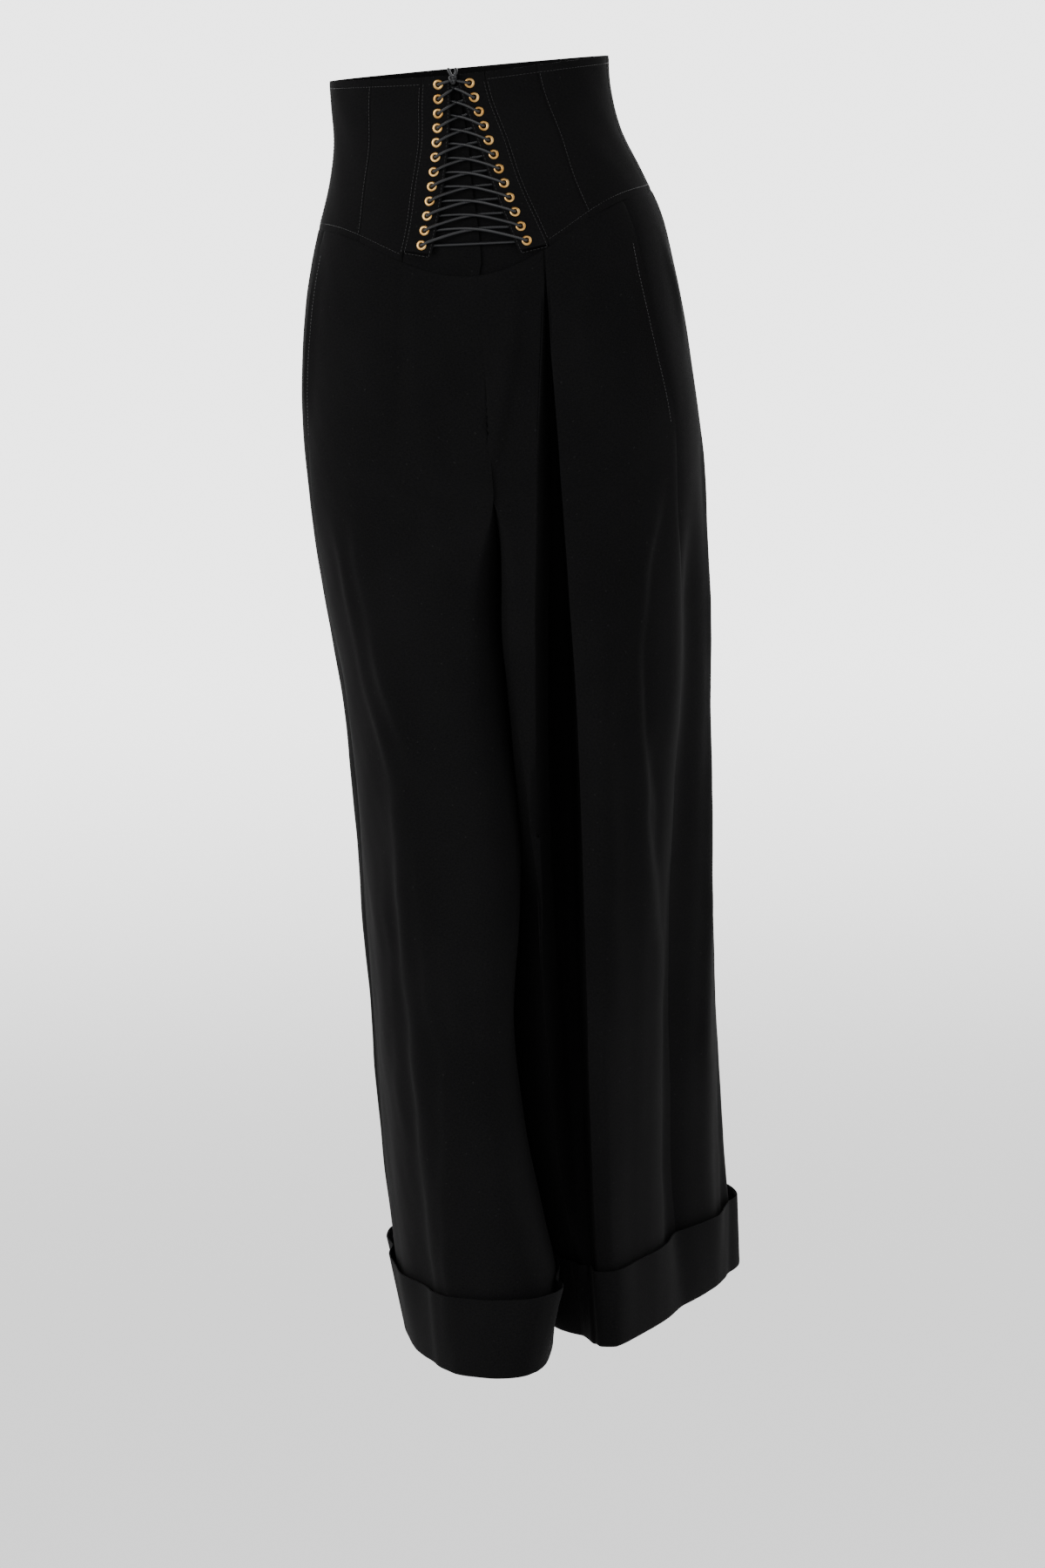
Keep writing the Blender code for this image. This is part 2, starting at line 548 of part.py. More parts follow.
def make_cuff(leg, material):
    """The turned-up cuff: a ring with a lip under the end of the leg."""
    profiles = []
    levels = (CUFF_TOP_Z, HEM_Z)
    rows = {}
    for level in levels:
        front = panel_row(leg, "front", level)
        back = panel_row(leg, "back", level)
        joined = [np.concatenate([a, b[1:-1]]) for a, b in zip(front, back)]
        nx, ny = normals_of_loop(joined[0], joined[1], leg)
        rows[level] = (joined[0], joined[1], nx, ny)
    top, hem = rows[CUFF_TOP_Z], rows[HEM_Z]
    for i in range(len(top[0])):
        stand = cuff_stand(leg, top[0][i], top[1][i], top[2][i])

        def place(row, out, z, i=i):
            return Vector((row[0][i] + row[2][i] * out, row[1][i] + row[3][i] * out, z))

        upper = place(top, stand, CUFF_TOP_Z)
        lower = place(hem, CUFF_STAND_HEM, HEM_Z + 0.004)
        lower_in = place(hem, CUFF_STAND_HEM - CUFF_WALL, HEM_Z + CUFF_LIP)
        upper_in = place(top, stand - CUFF_WALL, CUFF_TOP_Z)
        profiles.append([
            upper,
            upper.lerp(lower, 0.5),
            lower,
            place(hem, CUFF_STAND_HEM - 0.0006, HEM_Z),
            place(hem, -CLOTH, HEM_Z),
            place(hem, -CLOTH, HEM_Z + CUFF_LIP),
            lower_in,
            lower_in.lerp(upper_in, 0.5),
            upper_in,
        ])
    ring(f"cuff_{leg}", profiles, material)


def normals_of_loop(x, y, leg):
    """Outward normals of a closed row of points."""
    tx = np.roll(x, -1) - np.roll(x, 1)
    ty = np.roll(y, -1) - np.roll(y, 1)
    size = np.maximum(np.hypot(tx, ty), 1e-9)
    return outward(leg) * ty / size, -outward(leg) * tx / size


def side_of(x, z):
    """The side of the centre front that a width lies on."""
    return "right" if x < float(column(RIGHT_LEVELS, "x_in", z)) else "left"


def band_point(angle, z, depth=0.0):
    """A point of the waistband by its angle from the centre front, in degrees, and its height."""
    leg = "right" if angle < 0.0 else "left"
    table = levels_of(leg)
    at = {name: float(column(table, name, z)) for name in Level._fields if name != "z"}
    turn = math.radians(abs(angle))

    def spot(turn):
        sine, cosine = math.sin(turn), math.cos(turn)
        front = cosine >= 0.0
        power = 2.0 / (at["round_out"] if front else at["round_back"])
        reach = at["y_front"] if front else at["y_back"]
        x = at["x_in"] + (at["x_out"] - at["x_in"]) * max(sine, 0.0) ** power
        return x, reach * abs(cosine) ** power

    x, y = spot(turn)
    small = 0.01
    ahead, behind = spot(min(turn + small, math.pi)), spot(max(turn - small, 0.0))
    tx, ty = ahead[0] - behind[0], ahead[1] - behind[1]
    size = math.hypot(tx, ty)
    sign = outward(leg)
    nx, ny = sign * ty / size, -sign * tx / size
    if abs(angle) < 0.5:
        nx, ny = 0.0, -1.0
    return Vector((x - nx * depth, y - ny * depth, z)), Vector((nx, ny, 0.0))


def angle_at(x, z):
    """The angle from the centre front of a width on the front of the waistband."""
    leg = side_of(x, z)
    table = levels_of(leg)
    middle = float(column(table, "x_in", z))
    half = abs(float(column(table, "x_out", z)) - middle)
    power = float(column(table, "round_out", z)) / 2.0
    share = min(abs(x - middle) / half, 1.0)
    return outward(leg) * math.degrees(math.asin(share**power))


def edge_z(edge, angle):
    """Height of the yoke seam or the top edge at an angle."""
    z = -0.12 if edge == "yoke" else 0.02
    for _ in range(6):
        point, _ = band_point(angle, z)
        leg = "right" if angle < 0.0 else "left"
        rule = yoke_z if edge == "yoke" else top_z
        z = float(rule(leg, point.x, point.y, z))
    return z


def seam_x(seam, leg, z):
    """Width of a vertical seam of the waistband at a height."""
    share = min(max((z - BAND_LOW_Z) / (BAND_HIGH_Z - BAND_LOW_Z), 0.0), 1.0)
    width = seam.bottom + (seam.top - seam.bottom) * share + 4.0 * seam.bow * share * (1.0 - share)
    return float(column(RIGHT_LEVELS, "x_in", z)) + outward(leg) * width


def band_level(angle, share):
    """Height on the waistband at an angle, as a share from the yoke seam to the top edge."""
    low = edge_z("yoke", angle) + YOKE_GAP / 2
    return low + (edge_z("top", angle) - low) * share


def seam_angle(seam, leg, share, nudge):
    """Angle of a vertical seam at a share of the waistband's height, moved aside by a nudge."""
    z = BAND_LOW_Z + (BAND_HIGH_Z - BAND_LOW_Z) * share
    for _ in range(6):
        angle = angle_at(seam_x(seam, leg, z) + outward(leg) * nudge, z)
        z = band_level(angle, share)
    return angle


def make_band_piece(name, leg, ends, columns, material, rows=12):
    """A waistband piece between two seams, each a named seam with a nudge or a fixed angle."""
    outer, inner = [], []
    for i in range(rows + 1):
        share = i / rows
        first, last = (
            outward(leg) * end if isinstance(end, float) else seam_angle(end[0], leg, share, end[1])
            for end in ends
        )
        angles = [first + (last - first) * j / columns for j in range(columns + 1)]
        levels = [band_level(angle, share) for angle in angles]
        outer.append([band_point(a, z)[0] for a, z in zip(angles, levels)])
        inner.append([band_point(a, z, BAND_WALL)[0] for a, z in zip(angles, levels)])
    wall(f"band_{name}_{leg}", outer, inner, material)


def make_band(material):
    """Front, side and back pieces of the waistband."""
    half = SEAM_GAP / 2
    for leg in ("right", "left"):
        front_ends = ((STRIP_SEAM, half), (PRINCESS_SEAM, -half))
        side_ends = ((PRINCESS_SEAM, half), SIDE_SEAM_ANGLE - SEAM_ANGLE_GAP)
        back_ends = (SIDE_SEAM_ANGLE + SEAM_ANGLE_GAP, BACK_SPLIT_ANGLE - SEAM_ANGLE_GAP)
        make_band_piece("front", leg, front_ends, 6, material)
        make_band_piece("side", leg, side_ends, 6, material)
        make_band_piece("back", leg, back_ends, 12, material, rows=7)


def eyelet_line(leg, z):
    """Width of the row of eyelets at any height."""
    share = (EYELET_TOP_Z - z) / (EYELET_PITCH * (EYELETS - 1))
    line = EYELET_LINES[leg]
    return line.top + line.lean * share + line.bend * share * share


def eyelet_place(leg, index):
    """Width and height of an eyelet, counted from the top."""
    z = EYELET_TOP_Z - EYELET_PITCH * index
    return eyelet_line(leg, z), z


def flap_edge(leg, z):
    """Width of the free inner edge of a lacing flap."""
    return eyelet_line(leg, z) - outward(leg) * FLAP_OVERHANG


def strip_seam_x(leg, z):
    """Width of the sewn side of a lacing flap."""
    return seam_x(STRIP_SEAM, leg, z) - outward(leg) * SEAM_GAP / 2


def front_point(x, z, depth=0.0):
    """A point of the waistband's front by its width and height."""
    return band_point(angle_at(x, z), z, depth)[0]


def front_frame(x, z):
    """The centre, side, up and outward directions of the sloping front at a point."""
    step = 0.0015
    side = (front_point(x + step, z) - front_point(x - step, z)).normalized()
    rise = (front_point(x, z + step) - front_point(x, z - step)).normalized()
    normal = side.cross(rise).normalized()
    return front_point(x, z), side, normal.cross(side), normal


def strip_point(leg, u, z, depth):
    """A point of a lacing flap: u is 0 at its free edge and 1 at its seam."""
    free, sewn = flap_edge(leg, z), strip_seam_x(leg, z)
    return front_point(free + (sewn - free) * u, z, depth)


def make_lacing_flap(leg, material):
    """A flap with a round hole for each eyelet."""
    corners = [(1, 0), (1, 1), (0, 1), (-1, 1), (-1, 0), (-1, -1), (0, -1), (1, -1)]
    shell = bmesh.new()
    layers = []
    for depth in (0.0, BAND_WALL):
        lines = []
        for i in range(EYELETS + 1):
            lines.append([])
            for step in range(3):
                hole = min(max(i, 0), EYELETS - 1)
                hole_x, hole_z = eyelet_place(leg, hole)
                free, sewn = flap_edge(leg, hole_z), strip_seam_x(leg, hole_z)
                u = (0.0, (hole_x - free) / (sewn - free), 1.0)[step]
                z = hole_z + EYELET_PITCH / 2
                if i == 0:
                    z = edge_z("top", angle_at(free + (sewn - free) * u, hole_z)) - 0.0001
                if i == EYELETS:
                    z = FLAP_BOTTOM_Z + 0.004 * u
                lines[-1].append(shell.verts.new(strip_point(leg, u, z, depth)))
        cells = []
        for i in range(EYELETS):
            hole_x, hole_z = eyelet_place(leg, i)
            above, below = lines[i], lines[i + 1]
            free = shell.verts.new(strip_point(leg, 0.0, hole_z, depth))
            sewn = shell.verts.new(strip_point(leg, 1.0, hole_z, depth))
            border = {
                (-1, 1): above[0], (0, 1): above[1], (1, 1): above[2],
                (-1, 0): free, (1, 0): sewn,
                (-1, -1): below[0], (0, -1): below[1], (1, -1): below[2],
            }
            centre, side, rise, normal = front_frame(hole_x, hole_z)
            centre -= normal * depth * math.hypot(normal.x, normal.y)
            rim = []
            for a, b in corners:
                turn = math.atan2(b, a)
                spoke = side * math.cos(turn) * outward(leg) + rise * math.sin(turn)
                rim.append(shell.verts.new(centre + spoke * STRIP_HOLE_R))
            cells.append((border, rim, free, sewn))
        layers.append((lines, cells))
    for lines, cells in layers:
        for border, rim, _, _ in cells:
            for k in range(8):
                m = (k + 1) % 8
                shell.faces.new((border[corners[k]], border[corners[m]], rim[m], rim[k]))
    (outer_lines, outer_cells), (inner_lines, inner_cells) = layers
    for (_, rim, _, _), (_, rim_in, _, _) in zip(outer_cells, inner_cells):
        for k in range(8):
            m = (k + 1) % 8
            shell.faces.new((rim[k], rim[m], rim_in[m], rim_in[k]))

    def border_line(lines, cells):
        line = [lines[0][0], lines[0][1], lines[0][2]]
        for i in range(EYELETS):
            line += [cells[i][3], lines[i + 1][2]]
        line += [lines[EYELETS][1], lines[EYELETS][0]]
        for i in range(EYELETS - 1, -1, -1):
            line += [cells[i][2]] + ([lines[i][0]] if i else [])
        return line

    outside, inside = border_line(*layers[0]), border_line(*layers[1])
    for k in range(len(outside)):
        m = (k + 1) % len(outside)
        shell.faces.new((outside[k], outside[m], inside[m], inside[k]))
    finish(f"lacing_flap_{leg}", shell, material)


def underlay_depth(leg, x, z):
    """How deep the underlay lies: close under the seam and clear of the lace by the eyelets."""
    seam = strip_seam_x(leg, z)
    eyelets = eyelet_line(leg, z) + outward(leg) * EYELET_OUTER_R * 0.7
    share = smoothstep(0.0, 1.0, (x - seam) / (eyelets - seam))
    close = BAND_WALL + LINING_GAP
    return close + (UNDERLAY_DEPTH - close) * float(share)


def make_underlay(material):
    """Two panels behind the lacing. The right one laps over the left one along the fly edge."""
    rows, columns = 9, 7
    for leg in ("right", "left"):
        under = 0.0 if leg == "right" else CLOTH + LINING_GAP
        outer, inner = [], []
        for i in range(rows + 1):
            share = i / rows
            outer.append([])
            inner.append([])
            for j in range(columns + 1):
                across = j / columns
                z = -0.13 + 0.15 * share
                for _ in range(4):
                    middle = float(column(RIGHT_LEVELS, "x_in", z))
                    edge = middle + FLY_EDGE - (FLY_HOOK if share < 0.06 else 0.0)
                    if leg == "left":
                        edge = middle - UNDERLAP + FLY_EDGE
                    sewn = strip_seam_x(leg, z) + outward(leg) * 0.0015
                    x = edge + (sewn - edge) * across
                    angle = angle_at(x, z)
                    low = edge_z("yoke", angle) + YOKE_GAP / 2
                    z = low + (edge_z("top", angle) - 0.0008 - low) * share
                depth = UNDERLAY_DEPTH
                if side_of(x, z) == leg:
                    depth = underlay_depth(leg, x, z)
                outer[-1].append(front_point(x, z, depth + under))
                inner[-1].append(front_point(x, z, depth + under + CLOTH))
        wall(f"underlay_{leg}", outer, inner, material)


def make_eyelets(material):
    """Rolled rings in the holes of the flaps."""
    profile = [
        (EYELET_BORE_R, -BAND_WALL - 0.00035),
        (EYELET_BORE_R, 0.0005),
        (0.0033, 0.0010),
        (EYELET_OUTER_R, 0.0003),
        (EYELET_BARREL_R, 0.0003),
        (EYELET_BARREL_R, -BAND_WALL - 0.00035),
    ]
    sides = 8
    for leg in ("right", "left"):
        for index in range(EYELETS):
            x, z = eyelet_place(leg, index)
            centre, side, rise, normal = front_frame(x, z)
            profiles = []
            for k in range(sides):
                turn = 2.0 * math.pi * k / sides
                spoke = side * math.cos(turn) + rise * math.sin(turn)
                profiles.append([centre + spoke * r + normal * h for r, h in profile])
            ring(f"eyelet_{leg}_{index + 1:02d}", profiles, material)


def lace_through(leg, index, come_from, go_to):
    """Points of the lace as it comes up through an eyelet from behind: (x, z, lift)."""
    x, z = eyelet_place(leg, index)
    here = Vector((x, z))
    arrive = (here - Vector(come_from)).normalized()
    leave = (Vector(go_to) - here).normalized()
    route = []
    turns = (
        (arrive, -0.0015, LACE_UNDER),
        (arrive, -0.0001, LACE_UNDER + 0.0014),
        (leave, 0.0001, LACE_OVER - 0.0012),
        (leave, 0.0015, LACE_OVER),
    )
    for way, far, lift in turns:
        spot = here + way * far
        route.append((spot.x, spot.y, lift))
    return route


def lace_across(start_leg, start_index, end_leg, end_index, over):
    """Points of the lace across the opening, from over one flap's edge to under the other's."""
    x0, z0 = eyelet_place(start_leg, start_index)
    x1, z1 = eyelet_place(end_leg, end_index)
    route = []
    edge0 = flap_edge(start_leg, z0)
    edge1 = flap_edge(end_leg, z1)
    first = abs(edge0 - x0) / abs(x1 - x0)
    last = 1.0 - abs(edge1 - x1) / abs(x1 - x0)
    lifts = [
        (first - 0.02, LACE_R + 0.0012),
        (first + (last - first) * 0.28, 0.0004 + 0.4 * over * CROSS_LIFT),
        (first + (last - first) * 0.50, -0.0010 + over * CROSS_LIFT),
        (first + (last - first) * 0.72, -0.0023 + 0.4 * over * CROSS_LIFT),
        (last + 0.02, LACE_UNDER),
    ]
    bow = 0.10 * abs(x1 - x0) * 0.12
    for share, lift in lifts:
        arch = bow * math.sin(math.pi * share)
        route.append((x0 + (x1 - x0) * share, z0 + (z1 - z0) * share + arch, lift))
    return route


def lace_side(first_leg, over_first):
    """One half of the lace, from its lowest eyelet zigzag up to its top eyelet."""
    other = {"right": "left", "left": "right"}
    legs = [first_leg if i % 2 == 0 else other[first_leg] for i in range(EYELETS)]
    stops = list(zip(legs, range(EYELETS - 1, -1, -1)))
    knot = (float(column(RIGHT_LEVELS, "x_in", KNOT_Z)), KNOT_Z)
    route = []
    for k, (leg, index) in enumerate(stops):
        come = eyelet_place(other[leg], index if k == 0 else index + 1)
        go = eyelet_place(other[leg], index - 1) if index > 0 else knot
        route += lace_through(leg, index, come, go)
        if index > 0:
            over = over_first if index % 2 else -over_first
            route += lace_across(leg, index, other[leg], index - 1, over)
    return route


def drop_close(points, least=0.0009):
    """Leave out points that lie closer than a least distance to the one before."""
    kept = [points[0]]
    for point in points[1:]:
        if (point - kept[-1]).length >= least:
            kept.append(point)
    return kept


def make_lace(material):
    """The cord, whole along its route: a bar at the bottom, then two halves that cross up to the top."""
    ending = []
    for leg, over in (("left", 1.0), ("right", -1.0)):
        route = lace_side(leg, over)
        last_leg = "right" if leg == "left" else "left"
        x = float(column(RIGHT_LEVELS, "x_in", KNOT_Z)) + outward(last_leg) * 0.0046
        route.append((x, KNOT_Z - 0.001, 0.0030))
        ending.append(route)
    (left_x, low_z), (right_x, _) = (eyelet_place(leg, EYELETS - 1) for leg in ("left", "right"))
    bar = [(left_x + (right_x - left_x) * k / 8, low_z, LACE_UNDER) for k in range(1, 8)]
    route = list(reversed(ending[0])) + bar + ending[1]
    points = []
    for x, z, lift in route:
        point, _, _, normal = front_frame(x, z)
        points.append(point + normal * lift)
    points = drop_close(points)
    curve = bpy.data.curves.new("lace", "CURVE")
    curve.dimensions = "3D"
    curve.bevel_depth = LACE_R
    curve.bevel_resolution = 1
    curve.render_resolution_u = 0
    curve.use_fill_caps = True
    spline = curve.splines.new("POLY")
    spline.points.add(len(points) - 1)
    for spot, point in zip(spline.points, points):
        spot.co = (*point, 1.0)
    curve.materials.append(material)
    item = bpy.data.objects.new("lace", curve)
    bpy.context.scene.collection.objects.link(item)
    return item


def make_knot(material):
    """The tied knot of the lace and its two short ends, over the top of the opening."""
    centre, _, _, normal = front_frame(float(column(RIGHT_LEVELS, "x_in", KNOT_Z)), KNOT_Z)
    shell = bmesh.new()
    bmesh.ops.create_icosphere(shell, subdivisions=2, radius=0.5)
    frame = Matrix.Translation(centre + normal * 0.0034)
    frame = frame @ Matrix.Diagonal((0.0062, 0.0050, 0.0076, 1.0))
    bmesh.ops.transform(shell, matrix=frame, verts=shell.verts)
    finish("lace_knot", shell, material)


def main():
    clear_scene()
    crepe = make_material("black_crepe", (0.012, 0.012, 0.013), 0.75, 0.0)
    band_crepe = make_material("black_band_crepe", (0.012, 0.012, 0.013), 0.75, 0.0)
    pocketing = make_material("black_pocketing", (0.014, 0.014, 0.015), 0.80, 0.0)
    gold = make_material("gold_brass", (0.80, 0.56, 0.22), 0.22, 1.0)
    satin = make_material("blue_black_satin", (0.020, 0.021, 0.028), 0.38, 0.0)
    for leg in ("right", "left"):
        panels = make_leg_panels(leg, crepe)
        make_pocket_facing(leg, panels, pocketing)
        make_cuff(leg, crepe)
        make_lacing_flap(leg, band_crepe)
    make_band(band_crepe)
    make_underlay(band_crepe)
    make_eyelets(gold)
    make_lace(satin)
    make_knot(satin)


main()
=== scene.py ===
"""Palazzo pants with a laced waistband: the cloth, sewing, eyelets and lacing over the rigid frame.

Metres, +Z up. The front faces -Y and the wearer's left is +X.
"""

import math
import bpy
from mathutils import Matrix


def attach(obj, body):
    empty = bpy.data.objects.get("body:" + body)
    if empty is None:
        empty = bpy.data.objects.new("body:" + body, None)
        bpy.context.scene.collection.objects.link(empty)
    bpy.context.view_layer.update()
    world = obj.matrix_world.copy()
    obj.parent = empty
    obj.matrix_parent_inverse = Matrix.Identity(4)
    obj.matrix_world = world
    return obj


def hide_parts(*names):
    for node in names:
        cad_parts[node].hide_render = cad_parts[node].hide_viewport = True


bl_info = {
    "name": "Palazzo Pants",
    "version": (1, 0, 0),
    "blender": (4, 5, 0),
    "location": "View3D > Sidebar > Palazzo Pants",
    "description": "Builds crepe palazzo pants with a laced waistband, eyelets and turned-up cuffs",
    "category": "Object",
}

from collections import namedtuple
from functools import partial

import bmesh
import bpy
import numpy as np
from mathutils import Matrix, Vector

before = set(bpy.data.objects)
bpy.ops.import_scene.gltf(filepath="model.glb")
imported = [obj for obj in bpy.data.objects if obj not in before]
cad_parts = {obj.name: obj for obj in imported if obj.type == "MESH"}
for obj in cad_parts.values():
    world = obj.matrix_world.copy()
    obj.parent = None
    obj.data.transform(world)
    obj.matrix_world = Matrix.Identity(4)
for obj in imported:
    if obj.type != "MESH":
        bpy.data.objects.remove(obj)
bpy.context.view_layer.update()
SIDES = ("right", "left")

# Cloth walls, and the gaps at seams: the dressed pieces lap there, so their gaps are negative
CLOTH = 0.0016
BAND_WALL = 0.0018
SEAM_GAP = -0.0003
YOKE_GAP = -0.0003
LINING_GAP = 0.0006

# Levels
HEM_Z = -1.087
CUFF_TOP_Z = -1.018
CROTCH_Z = -0.335
FRONT_RISE_Z = -0.235
BACK_RISE_Z = -0.205

# Yoke seam and top edge of the waistband: height at the side, slope across and dips in the middle
Edge = namedtuple("Edge", "side_z tilt dip_front dip_back first_z")
YOKE = Edge(-0.0985, 0.064, 0.0495, 0.012, -0.12)
TOP = Edge(0.0235, 0.040, 0.003, 0.0, 0.02)

# Lacing
EYELETS = 12
EYELET_TOP_Z = 0.013
EYELET_PITCH = 0.01215
EyeletLine = namedtuple("EyeletLine", "top lean bend")
EYELET_LINES = {
    "right": EyeletLine(-0.0178, -0.0045, -0.0145),
    "left": EyeletLine(0.0090, 0.0360, 0.0080),
}
EYELET_OUTER_R = 0.0045
EYELET_BARREL_R = 0.00295
STRIP_HOLE_R = 0.0032
LACE_R = 0.00115
LACE_OVER = 0.0023
LACE_UNDER = -0.00345
CROSS_LIFT = 0.00135
KNOT_Z = 0.0165

# Flaps that carry the eyelets, and the underlay behind the lacing
FLAP_OVERHANG = 0.0102
FLAP_BOTTOM_Z = -0.1285
FLAP_STEPS = 8
UNDERLAY_DEPTH = 0.0053
UNDERLAP = 0.024
UNDERLAY_GRID = (40, 24)
UNDERLAY_REACH = 0.004
FLY_EDGE = 0.0040
FLY_HOOK = 0.0022

# Turned-up cuffs
CUFF_WALL = 0.0018
CUFF_STAND_TOP = 0.0060
CUFF_STAND_CLOSE = 0.0034
CUFF_STAND_HEM = 0.0036
CUFF_LIP = 0.0016
CUFF_CORNER_RIGHT = 0.0100
CUFF_CORNER_LEFT = 0.0025
CUFF_VALLEY = 0.0020
CUFF_VALLEY_X = 0.058


def rows_of(kind, rows, plain=0):
    """Rows of one kind from lengths in millimetres, all but texts and the last few plain values."""
    made = []
    for row in rows:
        last = len(row) - plain
        cells = enumerate(row)
        made.append(kind(*(v if isinstance(v, str) or i >= last else v / 1e3 for i, v in cells)))
    return made


# One row for each level of a leg: the outermost, front, inner and back points of its outline in
# millimetres, and how square its corners are (2 is an ellipse)
Level = namedtuple("Level", (
    "z x_out y_out x_front y_front x_in y_in x_back y_back round_out round_in round_back"
))

RIGHT_LEVELS = rows_of(Level, (
    (40, -122.5, 0, -5, -90, -5, 0, -5, 88, 2.3, 2.3, 2.2),
    (0, -121.5, 0, -4, -91, -4, 0, -4, 88, 2.3, 2.3, 2.2),
    (-35, -121, 0, 1, -95, 1, 0, 1, 91, 2.3, 2.3, 2.2),
    (-70, -127, 0, 3, -103, 3, 0, 3, 97, 2.3, 2.3, 2.2),
    (-110, -139, 0, 8, -114, 8, 0, 8, 107, 2.3, 2.3, 2.2),
    (-150, -149, 0, 10, -121, 10, 0, 10, 118, 2.3, 2.3, 2.2),
    (-220, -159, 0, 13, -129, 13, 0, 13, 132, 2.3, 2.3, 2.2),
    (-300, -162, 0, 14, -134, 14, 0, 14, 136, 2.3, 3, 2.2),
    (-335, -160.5, 0, 15, -137, 15, 0, 15, 134, 2.3, 5, 2.4),
    (-400, -154, 2, -10, -143, 14, -10, -50, 128, 2.2, 3.3, 2.2),
    (-500, -143, 8, -20, -152, 16, -35, -55, 118, 2.1, 2.6, 2.1),
    (-600, -137.5, 14, -22, -162, 20.5, -75, -55, 112, 2, 2.4, 2),
    (-700, -136, 20, -22, -174, 15, -105, -55, 110, 1.9, 2.5, 2),
    (-800, -134, 26, -22, -186, 6, -125, -55, 111, 1.85, 3, 2),
    (-900, -132, 30, -20, -198, 13, -145, -55, 114, 1.8, 2.8, 2),
    (-980, -130, 32, -14, -206, 26, -155, -52, 117, 1.75, 2.8, 2),
    (-1018, -128, 32, -12, -209, 33, -160, -52, 118, 1.75, 2.8, 2),
    (-1087, -119, 30, -12, -216, 24.5, -150, -52, 116, 1.75, 2.8, 2),
), 3)

LEFT_LEVELS = rows_of(Level, (
    (40, 121, 0, -5, -90, -5, 0, -5, 88, 2.3, 2.3, 2.2),
    (0, 121.5, 0, -4, -91, -4, 0, -4, 88, 2.3, 2.3, 2.2),
    (-35, 128.5, 0, 1, -95, 1, 0, 1, 91, 2.3, 2.3, 2.2),
    (-70, 144, 0, 3, -103, 3, 0, 3, 97, 2.3, 2.3, 2.2),
    (-110, 160, 0, 8, -114, 8, 0, 8, 107, 2.3, 2.3, 2.2),
    (-150, 168, 0, 10, -121, 10, 0, 10, 118, 2.3, 2.3, 2.2),
    (-220, 178, 0, 13, -129, 13, 0, 13, 132, 2.3, 2.3, 2.2),
    (-300, 185, 2, 14, -134, 14, 0, 14, 137, 2.3, 3, 2.2),
    (-335, 185, 4, 15, -136, 15, 0, 15, 138, 2.2, 5, 2.4),
    (-400, 185, 12, 60, -136, 15.1, 4, 75, 140, 2.1, 5.5, 2.2),
    (-500, 183, 26, 85, -134, 11, 6, 85, 145, 1.9, 4.4, 2.1),
    (-600, 177.5, 42, 88, -131, 13, 4, 90, 151, 1.7, 3.4, 2),
    (-700, 173, 60, 86, -129, 5.4, 2, 94, 160, 1.5, 2.5, 2),
    (-800, 171, 80, 84, -128, -7.9, 0, 97, 171, 1.35, 2.5, 2),
    (-900, 170.5, 98, 83, -127.5, -5, -2, 100, 183, 1.25, 2.5, 2),
    (-980, 170, 112, 82, -127, 8.3, -6, 103, 192, 1.2, 2.4, 2),
    (-1018, 171, 120, 82, -126.5, 17.1, -8, 104, 196, 1.18, 2.3, 2),
    (-1087, 175, 130, 82, -126.5, 13.1, -10, 105, 200, 1.15, 2, 2),
), 3)

# The open front pleat of the left leg: its folded edges, its bottom and the cloth at its inner side
Pleat = namedtuple("Pleat", "z x_inner x_outer y_bottom y_inner_side")
OPEN_PLEAT = rows_of(Pleat, (
    (-110, 66, 68.4, -108.5, -112.5),
    (-160, 65.5, 69, -113, -120.5),
    (-200, 62.5, 70, -102, -126.5),
    (-290, 55.5, 72.5, -80, -133.5),
    (-400, 48, 75.5, -56, -139),
    (-500, 41.5, 77, -40, -141),
    (-600, 37, 76.5, -33, -140),
    (-700, 34, 74.5, -34, -131),
    (-800, 33.5, 72.5, -43, -120),
    (-900, 36, 70.5, -60, -109),
    (-980, 43, 70, -86, -104),
    (-1018, 47, 70, -100, -102),
    (-1087, 50, 71, -116, -98),
))
PLEAT_COLUMNS = 0.5 - 0.5 * np.cos(np.linspace(0.0, math.pi, 29))

# Side seams: how far back they run, by level
Seam = namedtuple("Seam", "z y_right y_left y_inseam_right y_inseam_left")
SEAMS = rows_of(Seam, (
    (-90, -48, -64, 0, 0),
    (-160, -52, -70, 0, 0),
    (-300, -50, -66, 0, 0),
    (-500, -30, -48, -6, 4),
    (-800, -6, -14, -30, 22),
    (-1087, 10, 10, -45, 40),
))

# Pocket mouths in the side seams
POCKET_TOP_Z = -0.118
POCKET_BOTTOM_Z = -0.292
POCKET_GAPE = 0.0030
POCKET_SLIP = 0.0026
SEAM_REACH = 0.004

# Large soft folds. Along a front or a back they are placed by x, and along a side by y
Fold = namedtuple("Fold", "leg facing z_top at_top z_bottom at_bottom half_width height")
FOLDS = rows_of(Fold, (
    ("right", "front", -120, -60, -300, -66, 20, -4),
    ("right", "front", -400, -98, -700, -60, 22, 3.5),
    ("right", "front", -560, -84, -1100, -46, 20, 4),
    ("right", "front", -600, -108, -1100, -92, 18, 4),
    ("right", "outer", -420, -40, -1100, -20, 26, -4),
    ("right", "inner", -390, 5, -1300, -50, 55, -16),
    ("right", "back", -340, -30, -1100, -30, 34, 6),
    ("right", "back", -420, -85, -1100, -100, 30, -6),
    ("left", "front", -420, 120, -1100, 98, 16, -3),
    ("left", "outer", -330, -40, -1100, -4, 34, -11),
    ("left", "outer", -560, 30, -1100, 60, 30, 4),
    ("left", "back", -340, 60, -1100, 70, 34, 6),
    ("left", "back", -400, 115, -1100, 130, 30, -6),
))
FOLD_FADE = 0.120

